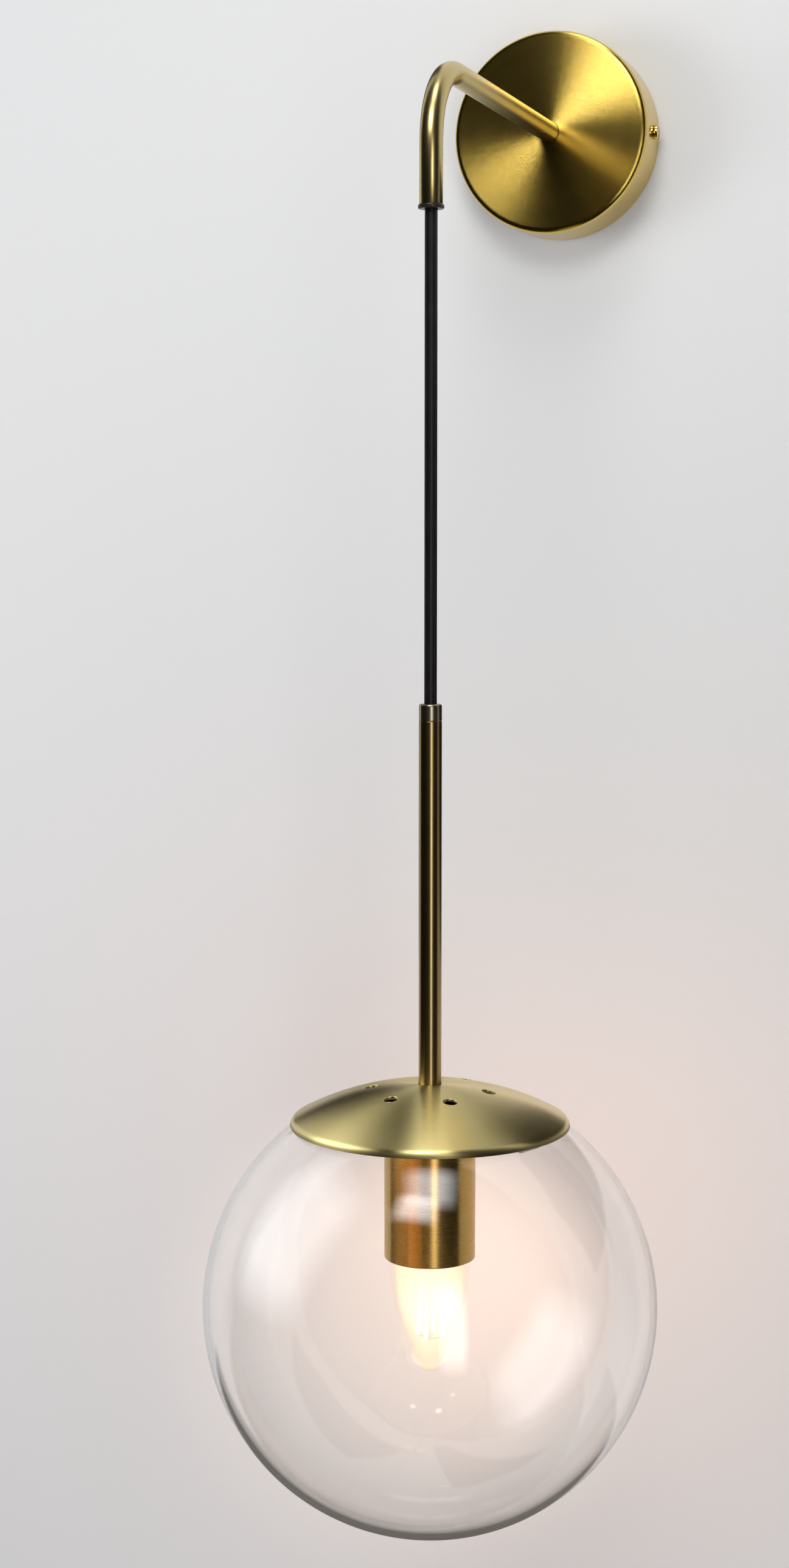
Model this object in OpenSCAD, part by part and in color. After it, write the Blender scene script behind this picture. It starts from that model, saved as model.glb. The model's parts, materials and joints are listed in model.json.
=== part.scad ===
// Wall lamp with a bent arm, a pendant on a short cord and a clear glass globe.
// Millimetres. X runs along the wall, Y runs into the wall, Z is up.
// The origin is on the wall, at the centre of the canopy.

/* [Canopy] */
// Outer diameter of the round wall canopy
canopy_d = 98; // [94:1:130]
// Depth of the canopy from the wall to its face
canopy_depth = 28; // [27:0.5:45]
// Sheet thickness of the canopy
canopy_wall = 1.2; // [0.8:0.1:1.6]
// Outer radius of the canopy's front edge
canopy_edge_r = 2.6; // [2:0.1:5]
// Distance of the side screws from the wall
side_screw_y = 10; // [7:0.5:13]

/* [Wall bracket] */
// Diameter of the bracket plate
bracket_d = 84; // [80:1:86]
// Thickness of the bracket plate
bracket_t = 2; // [1.5:0.1:2.5]
// Distance between the two wall screw slots
slot_spacing = 60; // [50:1:62]
// Length of a wall screw slot
slot_len = 12; // [8:0.5:14]
// Width of a wall screw slot
slot_w = 5.5; // [4.5:0.1:6.5]
// Width of the bracket's two side ears
ear_w = 12; // [9:0.5:14]
// Depth of the side ears from the wall
ear_depth = 16; // [14.5:0.5:22]
// Diameter of the supply cable hole
supply_hole_d = 16; // [10:1:18]
// Distance of the supply cable hole below the centre
supply_hole_drop = 22; // [18:0.5:26]

/* [Arm] */
// Distance from the wall to the hanging end of the arm
arm_reach = 210; // [170:1:260]
// Distance from the arm's axis down to the mouth of its end bush
arm_drop = 62; // [50:0.5:90]
// Outer diameter of the arm tube
arm_d = 10; // [9.6:0.1:11]
// Bore of the arm tube
arm_bore = 8; // [7.4:0.1:8.6]
// Bend radius of the arm on its centre line
arm_bend_r = 34; // [22:0.5:42]
// Height of the end bush's visible lip
bush_lip = 1.8; // [1:0.1:3]
// Outer diameter of the end bush's lip
bush_lip_d = 11.2; // [10.8:0.1:13]

/* [Cord] */
// Diameter of the cord
cord_d = 5.5; // [4.6:0.1:6]
// Length of cord that hangs between the arm and the rod
cord_free = 209.5; // [120:0.5:320]
// Diameter of one insulated core of the cord
core_d = 2.1; // [1.6:0.1:2.2]

/* [Rod] */
// Length from the top of the cord grip to the top of the dome
rod_len = 166.1; // [110:0.1:240]
// Outer diameter of the rod, which is also its thread
rod_d = 10; // [9.6:0.1:11]
// Bore of the rod
rod_bore = 8; // [7.4:0.1:8.6]
// Height of the cord grip above the rod
grip_h = 7.3; // [6:0.1:12]
// Direction of the grip's small screw, in degrees from the X axis
grip_screw_angle = 20; // [-180:1:180]

/* [Dome] */
// Diameter of the dome cap at its rim
dome_d = 122.6; // [116:0.2:130]
// Height of the dome cap
dome_h = 18.4; // [16:0.1:24]
// Sheet thickness of the dome cap
dome_wall = 1.2; // [0.8:0.1:1.6]
// Radius of the dome's shoulder
dome_shoulder_r = 4; // [3:0.5:8]
// Number of vent holes in the dome
vent_count = 6; // [3:1:8]
// Diameter of a vent hole
vent_d = 6; // [3:0.1:7]
// Radius of the circle of vent holes
vent_ring_r = 26; // [22:0.5:32]
// Direction of the first vent hole, in degrees from the X axis
vent_phase = -52; // [-180:1:180]
// Radial width of the soft seat ring
seat_w = 2.6; // [1.5:0.1:4]
// Height of the soft seat ring
seat_h = 3.2; // [2.2:0.1:4]

/* [Globe] */
// Outer diameter of the glass globe
globe_d = 200; // [180:1:240]
// Wall thickness of the glass globe
globe_wall = 2.5; // [2:0.1:3.5]
// Diameter of the globe's mouth at its outer surface
globe_mouth_d = 104; // [96:1:108]

/* [Glass clip] */
// Sheet thickness of the spring clip
clip_t = 1; // [0.6:0.1:1.2]
// Width of a clip arm
clip_arm_w = 9; // [6:0.5:14]
// Diameter of the clip's hub
clip_hub_d = 28; // [24:1:34]
// Number of clip arms
clip_arms = 3; // [3:1:4]
// Diameter of the soft sleeve on a clip arm
sleeve_d = 3.8; // [3:0.1:4.4]

/* [Socket cup] */
// Outer diameter of the socket cup
cup_d = 40; // [39.6:0.1:46]
// Length of the socket cup
cup_len = 68; // [60:0.5:80]
// Sheet thickness of the socket cup
cup_wall = 1; // [0.6:0.1:1.2]
// Outer radius of the cup's top edge
cup_edge_r = 3; // [2:0.1:4]

/* [Lampholder] */
// Outer diameter of the lampholder
holder_d = 37.2; // [36.6:0.1:37.4]
// Wall thickness of the lampholder's sleeve
holder_wall = 1.6; // [1.2:0.1:2]
// Height of the lampholder's cap
holder_cap_h = 14; // [13:0.5:18]
// Depth of the threaded boss in the lampholder's cap
holder_boss_h = 7; // [5:0.5:8]
// Length of the lampholder's sleeve
holder_sleeve_len = 43; // [40:0.5:48]
// Thickness of the terminal insert
insert_h = 10; // [8:0.5:12]
// Bore of the metal screw shell that takes the lamp
shell_bore = 26.7; // [26.5:0.1:27]

/* [Bulb] */
// Diameter of the bulb's glass
bulb_d = 35; // [32:0.5:36]
// Overall length of the bulb
bulb_len = 92; // [84:0.5:110]
// Outer diameter of the bulb's screw cap
bulb_cap_d = 26.2; // [25.8:0.1:26.3]
// Pitch of the ridges on the bulb's screw cap
cap_pitch = 3.6; // [3:0.1:4]
// Wall thickness of the bulb's glass
bulb_wall = 0.8; // [0.5:0.1:1.2]
// Radius of the bulb's rounded tip
bulb_tip_r = 6; // [4:0.5:9]
// Number of glowing filaments
filament_count = 4; // [2:1:6]
// Length of a filament
filament_len = 28; // [20:0.5:30]
// Diameter of a filament
filament_d = 1.8; // [1.2:0.1:2.4]

/* [Fits] */
// Radial clearance between threads, bores and the tubes in them
fit = 0.05; // [0.02:0.01:0.08]
// Radial clearance round the cord where it leaves a bush
cord_fit = 0.1; // [0.05:0.01:0.15]
// Gap between the glass and the pieces that hold it
glass_gap = 0.3; // [0.2:0.05:0.5]
// Gap at the end of a swinging or sliding piece
end_gap = 0.3; // [0.2:0.05:0.5]
// Rise of the bell mouth where the cord leaves a bush
mouth_r = 1; // [0.6:0.1:1.2]

/* [Hidden] */
$fn = 96;
eps = 0.01;

// Screws: shank radius, head radius and head height of the sizes used
m3_r = 1.5;
m3_head_r = 2.7;
m3_small_head_r = 2.2;
m4_r = 2;
m4_head_r = 3.5;
head_h = 2;
slot_cut_w = 0.8;
slot_cut_h = 0.9;
grub_sink = 0.3;
grub_hex_r = 0.85;

// Thread nuts on the arm and on the rod
nut_h = 3.5;
nut_across_flats = 14;
nut_corner_r = nut_across_flats / 2 / cos(30);
washer_h = 1;
washer_r = 8.5;

// Canopy and the stack of pieces that holds the arm, as distances from the wall
canopy_r = canopy_d / 2;
canopy_in_r = canopy_r - canopy_wall;
face_in_y = canopy_depth - canopy_wall;
backing_t = 2;
backing_r = 25;
arm_r = arm_d / 2;
arm_bore_r = arm_bore / 2;
washer_y = face_in_y - backing_t;
nut_y = washer_y - washer_h;
anchor_y = nut_y - nut_h;
anchor_len = 10;
anchor_r = 8;
arm_thread_len = 5;
arm_end_y = anchor_y - arm_thread_len;
anchor_end_y = anchor_y - anchor_len;
sheath_bare = 1;
sheath_end_y = anchor_end_y - sheath_bare;

// Cord pivots: the cord swings in the mouth of the bush, the rod swings at its lower end
cord_r = cord_d / 2;
cord_bore_r = cord_r + cord_fit;
spigot_len = 8;
arm_tube_end_z = -arm_drop + bush_lip;
pivot_top_z = -arm_drop;
rod_top_z = pivot_top_z - cord_free;

// Pendant stack, from the top of the dome down
rod_r = rod_d / 2;
rod_bore_r = rod_bore / 2;
grip_bottom_z = rod_top_z - grip_h;
apex_z = rod_top_z - rod_len;
rim_z = apex_z - dome_h;
dome_r = dome_d / 2;
dome_crown_r = (pow(dome_r - dome_shoulder_r, 2) + pow(dome_h, 2) - pow(dome_shoulder_r, 2))
    / (2 * (dome_h - dome_shoulder_r));
dome_turn = atan2(dome_r - dome_shoulder_r, dome_crown_r - dome_h);
function crown_sag(r) = dome_crown_r - sqrt(pow(dome_crown_r, 2) - pow(r, 2));
dome_nut_z = apex_z - dome_wall - crown_sag(nut_corner_r);
clip_z = dome_nut_z - nut_h;
clip_nut_z = clip_z - clip_t;
cup_z = clip_nut_z - nut_h;
holder_z = cup_z - cup_wall;
rod_end_z = holder_z - holder_boss_h;

// Globe: the inner edge of the dome's rim sits just clear of the glass
globe_r = globe_d / 2;
globe_in_r = globe_r - globe_wall;
dome_in_r = dome_r - dome_wall;
globe_z = rim_z - sqrt(pow(globe_r + glass_gap, 2) - pow(dome_in_r, 2));
mouth_angle = asin(globe_mouth_d / 2 / globe_r);
mouth_mid_r = globe_r - globe_wall / 2;
mouth_in_r = mouth_mid_r * sin(mouth_angle) - globe_wall / 2;

// Clip arm: it runs out under the dome, down through the mouth and out under the glass
sleeve_r = sleeve_d / 2;
sleeve_over = 1;
clip_mid_z = clip_z - clip_t / 2;
clip_root = 2;
clip_slope_run = 20;
clip_slope_drop = 6.5;
clip_lean = 0.5;
clip_drop_gap = 2.5;
clip_hook = 4;
clip_hook_rise = 1;
clip_drop_r = mouth_in_r - clip_drop_gap;
clip_tip_r = mouth_in_r + clip_hook;
clip_tip_z = globe_z + sqrt(pow(globe_in_r - glass_gap - sleeve_r, 2) - pow(clip_tip_r, 2));
clip_path = [
    [clip_hub_d / 2 - clip_root, clip_mid_z],
    [clip_drop_r - clip_slope_run, clip_mid_z],
    [clip_drop_r - clip_lean, clip_mid_z - clip_slope_drop],
    [clip_drop_r, clip_tip_z - clip_hook_rise],
    [clip_tip_r, clip_tip_z]
];
function clip_arm_angle(i) = vent_phase + 180 / vent_count + 360 * i / clip_arms;

// Lampholder
holder_r = holder_d / 2;
holder_in_r = holder_r - holder_wall;
holder_cavity_wall = 2;
sleeve_top_z = holder_z - holder_cap_h;
sleeve_end_z = sleeve_top_z - holder_sleeve_len;
sleeve_lip_h = 3;
shell_r = shell_bore / 2;
shell_wall = 0.6;
shell_out_r = shell_r + shell_wall;
lip_in_r = shell_r + 0.8;
insert_r = holder_in_r - fit;
insert_bottom_z = sleeve_top_z - insert_h;
shell_margin = 2;
contact_h = 3;
contact_r = 4;
contact_z = insert_bottom_z - contact_h;
terminal_x = 9.5;
terminal_size = [6, 7, 5.8];
lead_r = core_d / 2;
lead_inset = 1.3;
lead_z = holder_z - holder_boss_h - sheath_bare;
terminal_mid_z = sleeve_top_z + terminal_size.z / 2;

// Bulb, from its contact down
bulb_r = bulb_d / 2;
bulb_top_z = contact_z - end_gap;
bulb_contact_h = 1.5;
bulb_contact_r = 4.5;
bulb_insulator_h = 4;
bulb_insulator_r = 12.2;
bulb_shell_z = bulb_top_z - bulb_contact_h - bulb_insulator_h;
bulb_shell_h = 19;
bulb_skirt_h = 5;
bulb_skirt_z = bulb_shell_z - bulb_shell_h;
bulb_neck_z = bulb_skirt_z - bulb_skirt_h;
bulb_cap_r = bulb_cap_d / 2;
bulb_cap_wall = 0.7;
ridge_depth = 0.7;
groove_share = 0.8;
bulb_bore_r = bulb_cap_r - ridge_depth - bulb_cap_wall;
bulb_neck_r = bulb_bore_r + 0.9;
neck_len = 4;
bulb_wide_drop = 18;
bulb_wide_z = bulb_neck_z - bulb_wide_drop;
bulb_tip_z = bulb_top_z - bulb_len + bulb_tip_r;
bulb_side_r = (pow(bulb_r, 2) - pow(bulb_tip_r, 2) + pow(bulb_wide_z - bulb_tip_z, 2))
    / (2 * (bulb_r - bulb_tip_r));
bulb_turn = atan2(bulb_wide_z - bulb_tip_z, bulb_side_r - bulb_r);
bulb_upper_r = (pow(bulb_r - bulb_neck_r, 2) + pow(bulb_wide_drop, 2)) / (2 * (bulb_r - bulb_neck_r));
stem_h = 15;
stem_base_r = 8;
stem_top_r = 2.4;
stem_flange = 2;
stem_end_z = bulb_neck_z - stem_h;
filament_start_r = 3.4;
filament_end_r = 5.6;
filament_drop = 3;
filament_start_z = stem_end_z - filament_drop;
filament_end_z = filament_start_z - filament_len;
support_r = 0.4;
support_top_z = stem_end_z - 1.5 * support_r;
support_end_z = filament_end_z - 5 * support_r;

// Wall bracket details and the terminal block on it, as distances from the wall
ear_t = 2;
ear_fit = 1;
ear_x = canopy_in_r - ear_fit;
side_screw_len = 7;
block_size = [30, 13, 14];
block_z = 14;
block_y = bracket_t + block_size.y;
pole_pitch = 10;
pole_y = bracket_t + block_size.y / 2;
pole_xs = [-pole_pitch, 0, pole_pitch];
pole_screw_zs = [block_z + block_size.z / 4, block_z + block_size.z * 3 / 4];
pole_r = 2.2;
pole_bore_r = 1.5;
pole_inset = 1;
lead_entry = 4;
lead_straight = 0.8;
link_rise = 11;
fixing_x = pole_pitch / 2;
fixing_z = block_z + block_size.z / 2;
ring_at = [30, 14];
ring_r = 4.2;
ring_t = 0.8;
barrel_r = 1.6;
barrel_len = 6;
barrel_root = 1;
barrel_z = ring_at.y + ring_r - barrel_root;
screw_tip_y = 0.1;

// Point at a share t of a cubic curve with four control points
function curve_point(p, t) = pow(1 - t, 3) * p[0] + 3 * pow(1 - t, 2) * t * p[1]
    + 3 * (1 - t) * pow(t, 2) * p[2] + pow(t, 3) * p[3];
function curve(p, steps) = [for (i = [0 : steps]) curve_point(p, i / steps)];
function unit(v) = v / norm(v);
function heading(p, i) = unit(p[min(i + 1, len(p) - 1)] - p[max(i - 1, 0)]);
function ring(c, d, side, r, sides) = let (u = unit(cross(d, side)), w = cross(d, u))
    [for (k = [0 : sides - 1]) c + r * (cos(360 * k / sides) * u + sin(360 * k / sides) * w)];

// Straight route of the hanging cord, with the radius of its tube at each ring
cord_steps = 15;
cord_end_steps = 4;
function cord_end(i) = cord_r * sin(90 * i / cord_end_steps);
cord_depths = concat(
    [for (i = [cord_end_steps : -1 : 1]) -cord_end(i)],
    [for (i = [0 : cord_steps]) cord_free * i / cord_steps],
    [for (i = [1 : cord_end_steps]) cord_free + cord_end(i)]
);
cord_tip_r = 0.2;
function round_end_r(d) = sqrt(max(pow(cord_r, 2) - d * d, pow(cord_tip_r, 2)));
function cord_ring_r(d) = d < 0 ? round_end_r(d) : d > cord_free ? round_end_r(d - cord_free) : cord_r;

// Solid swept along points, with a radius for each point
module swept(points, radii, side, sides) {
    rings = [for (i = [0 : len(points) - 1]) each ring(points[i], heading(points, i), side, radii[i], sides)];
    last = (len(points) - 1) * sides;
    faces = concat(
        [[for (k = [0 : sides - 1]) k]],
        [for (i = [0 : len(points) - 2], k = [0 : sides - 1])
            [i * sides + k, (i + 1) * sides + k, (i + 1) * sides + (k + 1) % sides]],
        [for (i = [0 : len(points) - 2], k = [0 : sides - 1])
            [i * sides + k, (i + 1) * sides + (k + 1) % sides, i * sides + (k + 1) % sides]],
        [[for (k = [sides - 1 : -1 : 0]) last + k]]
    );
    polyhedron(points = rings, faces = faces, convexity = 4);
}

module lead(points, side) {
    swept(points, [for (p = points) lead_r], side, 8);
}

// Cylinder or cone along Y, from one distance to another in front of the wall
module along_y(from, to, r) {
    translate([0, -to, 0]) rotate([-90, 0, 0]) cylinder(h = to - from, r = r);
}

module on_lamp_axis() {
    translate([0, -arm_reach, 0]) children();
}

// Cylinder along Z between two heights
module along_z(top, bottom, r) {
    translate([0, 0, bottom]) cylinder(h = top - bottom, r = r);
}

module ring_z(top, bottom, outer, inner) {
    difference() {
        along_z(top, bottom, outer);
        along_z(top + 1, bottom - 1, inner);
    }
}

module rod_between(a, b, r) {
    d = b - a;
    translate(a) rotate([0, acos(d.z / norm(d)), atan2(d.y, d.x)]) cylinder(h = norm(d), r = r, $fn = 24);
}

// Slotted screw head on the XY plane, with its shank below
module slotted_screw(r, head_r, shank_len) {
    translate([0, 0, -shank_len]) cylinder(h = shank_len + eps, r = r);
    difference() {
        cylinder(h = head_h, r = head_r);
        translate([-head_r, -slot_cut_w / 2, head_h - slot_cut_h]) cube([2 * head_r, slot_cut_w, head_h]);
    }
}

module wall_bracket() {
    color("silver") difference() {
        union() {
            along_y(0, bracket_t, bracket_d / 2);
            translate([-ear_x, -bracket_t, -ear_w / 2]) cube([2 * ear_x, bracket_t, ear_w]);
            for (side = [-1, 1]) {
                translate([side * (ear_x - ear_t / 2) - ear_t / 2, -ear_depth, -ear_w / 2])
                    cube([ear_t, ear_depth, ear_w]);
            }
        }
        for (side = [-1, 1]) {
            for (end = [-1, 1]) {
                translate([side * slot_spacing / 2 + end * (slot_len - slot_w) / 2, 0, 0])
                    along_y(-1, bracket_t + 1, slot_w / 2);
            }
            translate([side * slot_spacing / 2 - (slot_len - slot_w) / 2, -bracket_t - 1, -slot_w / 2])
                cube([slot_len - slot_w, bracket_t + 2, slot_w]);
        }
        translate([0, 0, -supply_hole_drop]) along_y(-1, bracket_t + 1, supply_hole_d / 2);
        translate([ring_at.x, 0, ring_at.y]) along_y(-1, bracket_t + 1, m4_r + fit);
        translate([fixing_x, 0, fixing_z]) along_y(-1, bracket_t + 1, m3_r + fit);
        translate([-canopy_d, -side_screw_y, 0]) rotate([0, 90, 0]) cylinder(h = 2 * canopy_d, r = m4_r + fit);
    }
}

module canopy() {
    color("goldenrod") difference() {
        rotate([90, 0, 0]) rotate_extrude() difference() {
            union() {
                square([canopy_r, canopy_depth - canopy_edge_r]);
                square([canopy_r - canopy_edge_r, canopy_depth]);
                translate([canopy_r - canopy_edge_r, canopy_depth - canopy_edge_r]) circle(r = canopy_edge_r);
            }
            translate([-1, -1]) square([canopy_in_r + 1, face_in_y - canopy_edge_r + canopy_wall + 1]);
            translate([-1, -1]) square([canopy_r - canopy_edge_r + 1, face_in_y + 1]);
            translate([canopy_r - canopy_edge_r, canopy_depth - canopy_edge_r])
                circle(r = canopy_edge_r - canopy_wall);
        }
        along_y(face_in_y - 1, canopy_depth + 1, arm_r + fit);
        translate([-canopy_d, -side_screw_y, 0]) rotate([0, 90, 0])
            cylinder(h = 2 * canopy_d, r = m4_r + cord_fit);
    }
}

module canopy_screws() {
    color("goldenrod") for (side = [0, 180]) {
        rotate([0, 0, side]) translate([canopy_r, side == 0 ? -side_screw_y : side_screw_y, 0])
            rotate([0, 90, 0]) slotted_screw(m4_r, m4_head_r, side_screw_len);
    }
}

module arm_tube() {
    color("darkgoldenrod") difference() {
        arm_path(arm_r);
        arm_path(arm_bore_r, eps);
    }
}

// Horizontal run, bend and drop of the arm at a given radius, longer by extra at both ends
module arm_path(r, extra = 0) {
    along_y(arm_end_y - extra, arm_reach - arm_bend_r, r);
    translate([0, -arm_reach + arm_bend_r, -arm_bend_r]) rotate([0, -90, 0]) rotate([0, 0, -90])
        rotate_extrude(angle = 90) translate([arm_bend_r, 0]) circle(r = r);
    on_lamp_axis() along_z(-arm_bend_r, arm_tube_end_z - extra, r);
}

module arm_backing_plate() {
    color("silver") difference() {
        along_y(washer_y, face_in_y, backing_r);
        along_y(washer_y - 1, face_in_y + 1, arm_r + fit);
    }
}

module arm_washer() {
    color("gainsboro") difference() {
        along_y(nut_y, washer_y, washer_r);
        along_y(nut_y - 1, washer_y + 1, arm_r + fit);
    }
}

module arm_nut() {
    color("goldenrod") difference() {
        translate([0, -nut_y, 0]) rotate([-90, 0, 0]) cylinder(h = nut_h, r = nut_corner_r, $fn = 6);
        along_y(anchor_y - 1, nut_y + 1, arm_r + fit);
    }
}

module arm_end_bush() {
    color("dimgray") on_lamp_axis() difference() {
        union() {
            along_z(arm_tube_end_z, pivot_top_z, bush_lip_d / 2);
            along_z(arm_tube_end_z + spigot_len, arm_tube_end_z - eps, arm_bore_r - fit);
        }
        along_z(arm_tube_end_z + spigot_len + 1, pivot_top_z - 1, cord_bore_r);
        translate([0, 0, pivot_top_z - eps])
            cylinder(h = mouth_r, r1 = cord_bore_r + mouth_r, r2 = cord_bore_r);
    }
}

module cord_anchor() {
    color("ivory") difference() {
        along_y(anchor_end_y, anchor_y, anchor_r);
        along_y(arm_end_y, anchor_y + 1, arm_r + fit);
        along_y(anchor_end_y - 1, arm_end_y + 1, cord_bore_r);
        translate([0, -(anchor_end_y + arm_end_y) / 2, 0]) cylinder(h = anchor_r + 1, r = m3_r + fit);
    }
}

module cord_anchor_screw() {
    color("silver") translate([0, -(anchor_end_y + arm_end_y) / 2, anchor_r + eps])
        slotted_screw(m3_r, m3_small_head_r, anchor_r - cord_bore_r);
}

module cord_in_arm() {
    color("black") {
        along_y(sheath_end_y, arm_reach - arm_bend_r, cord_r);
        translate([0, -arm_reach + arm_bend_r, -arm_bend_r]) rotate([0, -90, 0]) rotate([0, 0, -90])
            rotate_extrude(angle = 90) translate([arm_bend_r, 0]) circle(r = cord_r);
        on_lamp_axis() along_z(-arm_bend_r, pivot_top_z + cord_r + end_gap, cord_r);
    }
}

module terminal_block() {
    color("white") difference() {
        translate([-block_size.x / 2, -block_y, block_z]) cube(block_size);
        for (x = pole_xs) {
            translate([x, -pole_y, block_z - 1]) cylinder(h = block_size.z + 2, r = pole_r + fit);
            for (z = pole_screw_zs) {
                translate([x, 0, z]) along_y(pole_y, block_y + 1, m3_r + cord_fit);
            }
        }
        translate([fixing_x, 0, fixing_z]) along_y(bracket_t - 1, block_y + 1, m3_r + fit);
        translate([fixing_x, 0, fixing_z]) along_y(block_y - head_h, block_y + 1, m3_head_r + fit);
    }
}

module terminal_sleeves() {
    color("gold") for (x = pole_xs) {
        difference() {
            translate([x, -pole_y, block_z + pole_inset])
                cylinder(h = block_size.z - 2 * pole_inset, r = pole_r);
            translate([x, -pole_y, block_z]) cylinder(h = block_size.z, r = pole_bore_r);
            for (z = pole_screw_zs) {
                translate([x, 0, z]) along_y(pole_y, block_y, m3_r + fit);
            }
        }
    }
}

module terminal_screws() {
    color("silver") for (x = pole_xs, z = pole_screw_zs) {
        difference() {
            translate([x, 0, z]) along_y(pole_y + lead_r + cord_fit, block_y - 1, m3_r);
            translate([x - m3_r, -block_y, z - slot_cut_w / 2]) cube([2 * m3_r, 1 + slot_cut_h, slot_cut_w]);
        }
    }
}

module terminal_fixing_screw() {
    color("silver") translate([fixing_x, -block_y + head_h, fixing_z]) rotate([90, 0, 0])
        slotted_screw(m3_r, m3_head_r, block_y - head_h - screw_tip_y);
}

// Route of one core from the end of the cord's sheath to its pole in the terminal block
function core_route(start, pole_x) = concat(
    [[start.x, -sheath_end_y, start.y]],
    curve([
        [start.x, -sheath_end_y + lead_straight, start.y],
        [start.x, -bracket_t - core_d, start.y],
        [pole_x, -pole_y, block_z / 3],
        [pole_x, -pole_y, block_z - lead_straight]
    ], 10),
    [[pole_x, -pole_y, block_z + pole_inset + lead_entry]]
);

module live_lead() {
    color("saddlebrown") lead(core_route([-1.3, -0.7], pole_xs[0]), [1, 0, 0]);
}

module neutral_lead() {
    color("royalblue") lead(core_route([0, 1.4], pole_xs[1]), [1, 0, 0]);
}

module earth_lead() {
    color("yellowgreen") lead(core_route([1.3, -0.7], pole_xs[2]), [1, 0, 0]);
}

module earth_link() {
    top_z = block_z + block_size.z;
    color("yellowgreen") lead(concat(
        [[pole_xs[2], -pole_y, top_z - pole_inset - lead_entry]],
        curve([
            [pole_xs[2], -pole_y, top_z + lead_straight],
            [pole_xs[2], -pole_y, top_z + link_rise],
            [ring_at.x, -bracket_t - barrel_r, top_z + link_rise],
            [ring_at.x, -bracket_t - barrel_r, barrel_z + barrel_len + lead_straight]
        ], 12),
        [[ring_at.x, -bracket_t - barrel_r, barrel_z + barrel_len]]
    ), [0, 1, 0]);
}

module earth_ring() {
    color("gainsboro") difference() {
        union() {
            translate([ring_at.x, 0, ring_at.y]) along_y(bracket_t, bracket_t + ring_t, ring_r);
            translate([ring_at.x, -bracket_t - barrel_r, barrel_z]) cylinder(h = barrel_len, r = barrel_r);
        }
        translate([ring_at.x, 0, ring_at.y]) along_y(bracket_t - 1, bracket_t + ring_t + 1, m4_r + cord_fit);
        translate([ring_at.x, 0, ring_at.y]) along_y(bracket_t + ring_t, bracket_t + 2 * ring_r, m4_head_r);
    }
}

module earth_screw() {
    color("silver") translate([ring_at.x, -bracket_t - ring_t, ring_at.y]) rotate([90, 0, 0])
        slotted_screw(m4_r, m4_head_r - cord_fit, bracket_t + ring_t - screw_tip_y);
}

module cord() {
    color("black") on_lamp_axis()
        swept([for (d = cord_depths) [0, 0, pivot_top_z - d]], [for (d = cord_depths) cord_ring_r(d)],
            [1, 0, 0], 12);
}

module cord_grip() {
    screw_z = rod_top_z - grip_h / 2;
    color("darkgoldenrod") on_lamp_axis() difference() {
        union() {
            along_z(rod_top_z, grip_bottom_z, rod_r);
            along_z(grip_bottom_z + eps, grip_bottom_z - spigot_len, rod_bore_r - fit);
        }
        along_z(rod_top_z + 1, grip_bottom_z - spigot_len - 1, cord_bore_r);
        translate([0, 0, rod_top_z - mouth_r + eps])
            cylinder(h = mouth_r, r1 = cord_bore_r, r2 = cord_bore_r + mouth_r);
        rotate([0, 0, grip_screw_angle]) translate([0, 0, screw_z]) rotate([0, 90, 0])
            cylinder(h = rod_d, r = m3_r + fit);
    }
}

module cord_grip_screw() {
    screw_z = rod_top_z - grip_h / 2;
    color("dimgray") on_lamp_axis() rotate([0, 0, grip_screw_angle]) difference() {
        translate([cord_bore_r, 0, screw_z]) rotate([0, 90, 0])
            cylinder(h = rod_r - cord_bore_r - grub_sink, r = m3_r);
        translate([rod_r - grub_sink - slot_cut_h, 0, screw_z]) rotate([0, 90, 0])
            cylinder(h = rod_r, r = grub_hex_r, $fn = 6);
    }
}

module rod_tube() {
    color("darkgoldenrod") on_lamp_axis() ring_z(grip_bottom_z, rod_end_z, rod_r, rod_bore_r);
}

module cord_in_rod() {
    color("black") on_lamp_axis() along_z(rod_top_z - cord_r - end_gap, lead_z, cord_r);
}

// Half disc of the dome's outline drawn in by the inset, with the rim plane at height zero
module dome_region(inset) {
    reach = 2 * dome_crown_r;
    translate([0, dome_h - dome_crown_r]) intersection() {
        circle(r = dome_crown_r - inset, $fn = 180);
        polygon([[0, 0], [0, reach], [reach * sin(dome_turn), reach * cos(dome_turn)]]);
    }
    translate([dome_r - dome_shoulder_r, 0]) circle(r = dome_shoulder_r - inset);
}

module dome_cap() {
    color("palegoldenrod") on_lamp_axis() difference() {
        translate([0, 0, rim_z]) rotate_extrude() intersection() {
            difference() {
                dome_region(0);
                dome_region(dome_wall);
            }
            square([dome_r, dome_h + 1]);
        }
        along_z(apex_z + 1, apex_z - 3 * dome_wall, rod_r + fit);
        for (i = [0 : vent_count - 1]) {
            rotate([0, 0, vent_phase + 360 * i / vent_count]) translate([vent_ring_r, 0, rim_z])
                cylinder(h = dome_h + 1, r = vent_d / 2);
        }
    }
}

module rod_thread_nut(top) {
    on_lamp_axis() difference() {
        translate([0, 0, top - nut_h]) cylinder(h = nut_h, r = nut_corner_r, $fn = 6);
        along_z(top + 1, top - nut_h - 1, rod_r + fit);
    }
}

module dome_nut() {
    color("goldenrod") rod_thread_nut(dome_nut_z);
}

module clip_nut() {
    color("goldenrod") rod_thread_nut(clip_nut_z);
}

module seat_ring() {
    color("dimgray") on_lamp_axis() difference() {
        translate([0, 0, rim_z]) rotate_extrude() intersection() {
            translate([dome_r - dome_shoulder_r, 0]) circle(r = dome_shoulder_r - dome_wall - fit);
            translate([dome_in_r - seat_w, 0]) square([seat_w, seat_h]);
        }
        translate([0, 0, globe_z]) sphere(r = globe_r + glass_gap, $fn = 180);
    }
}

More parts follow.
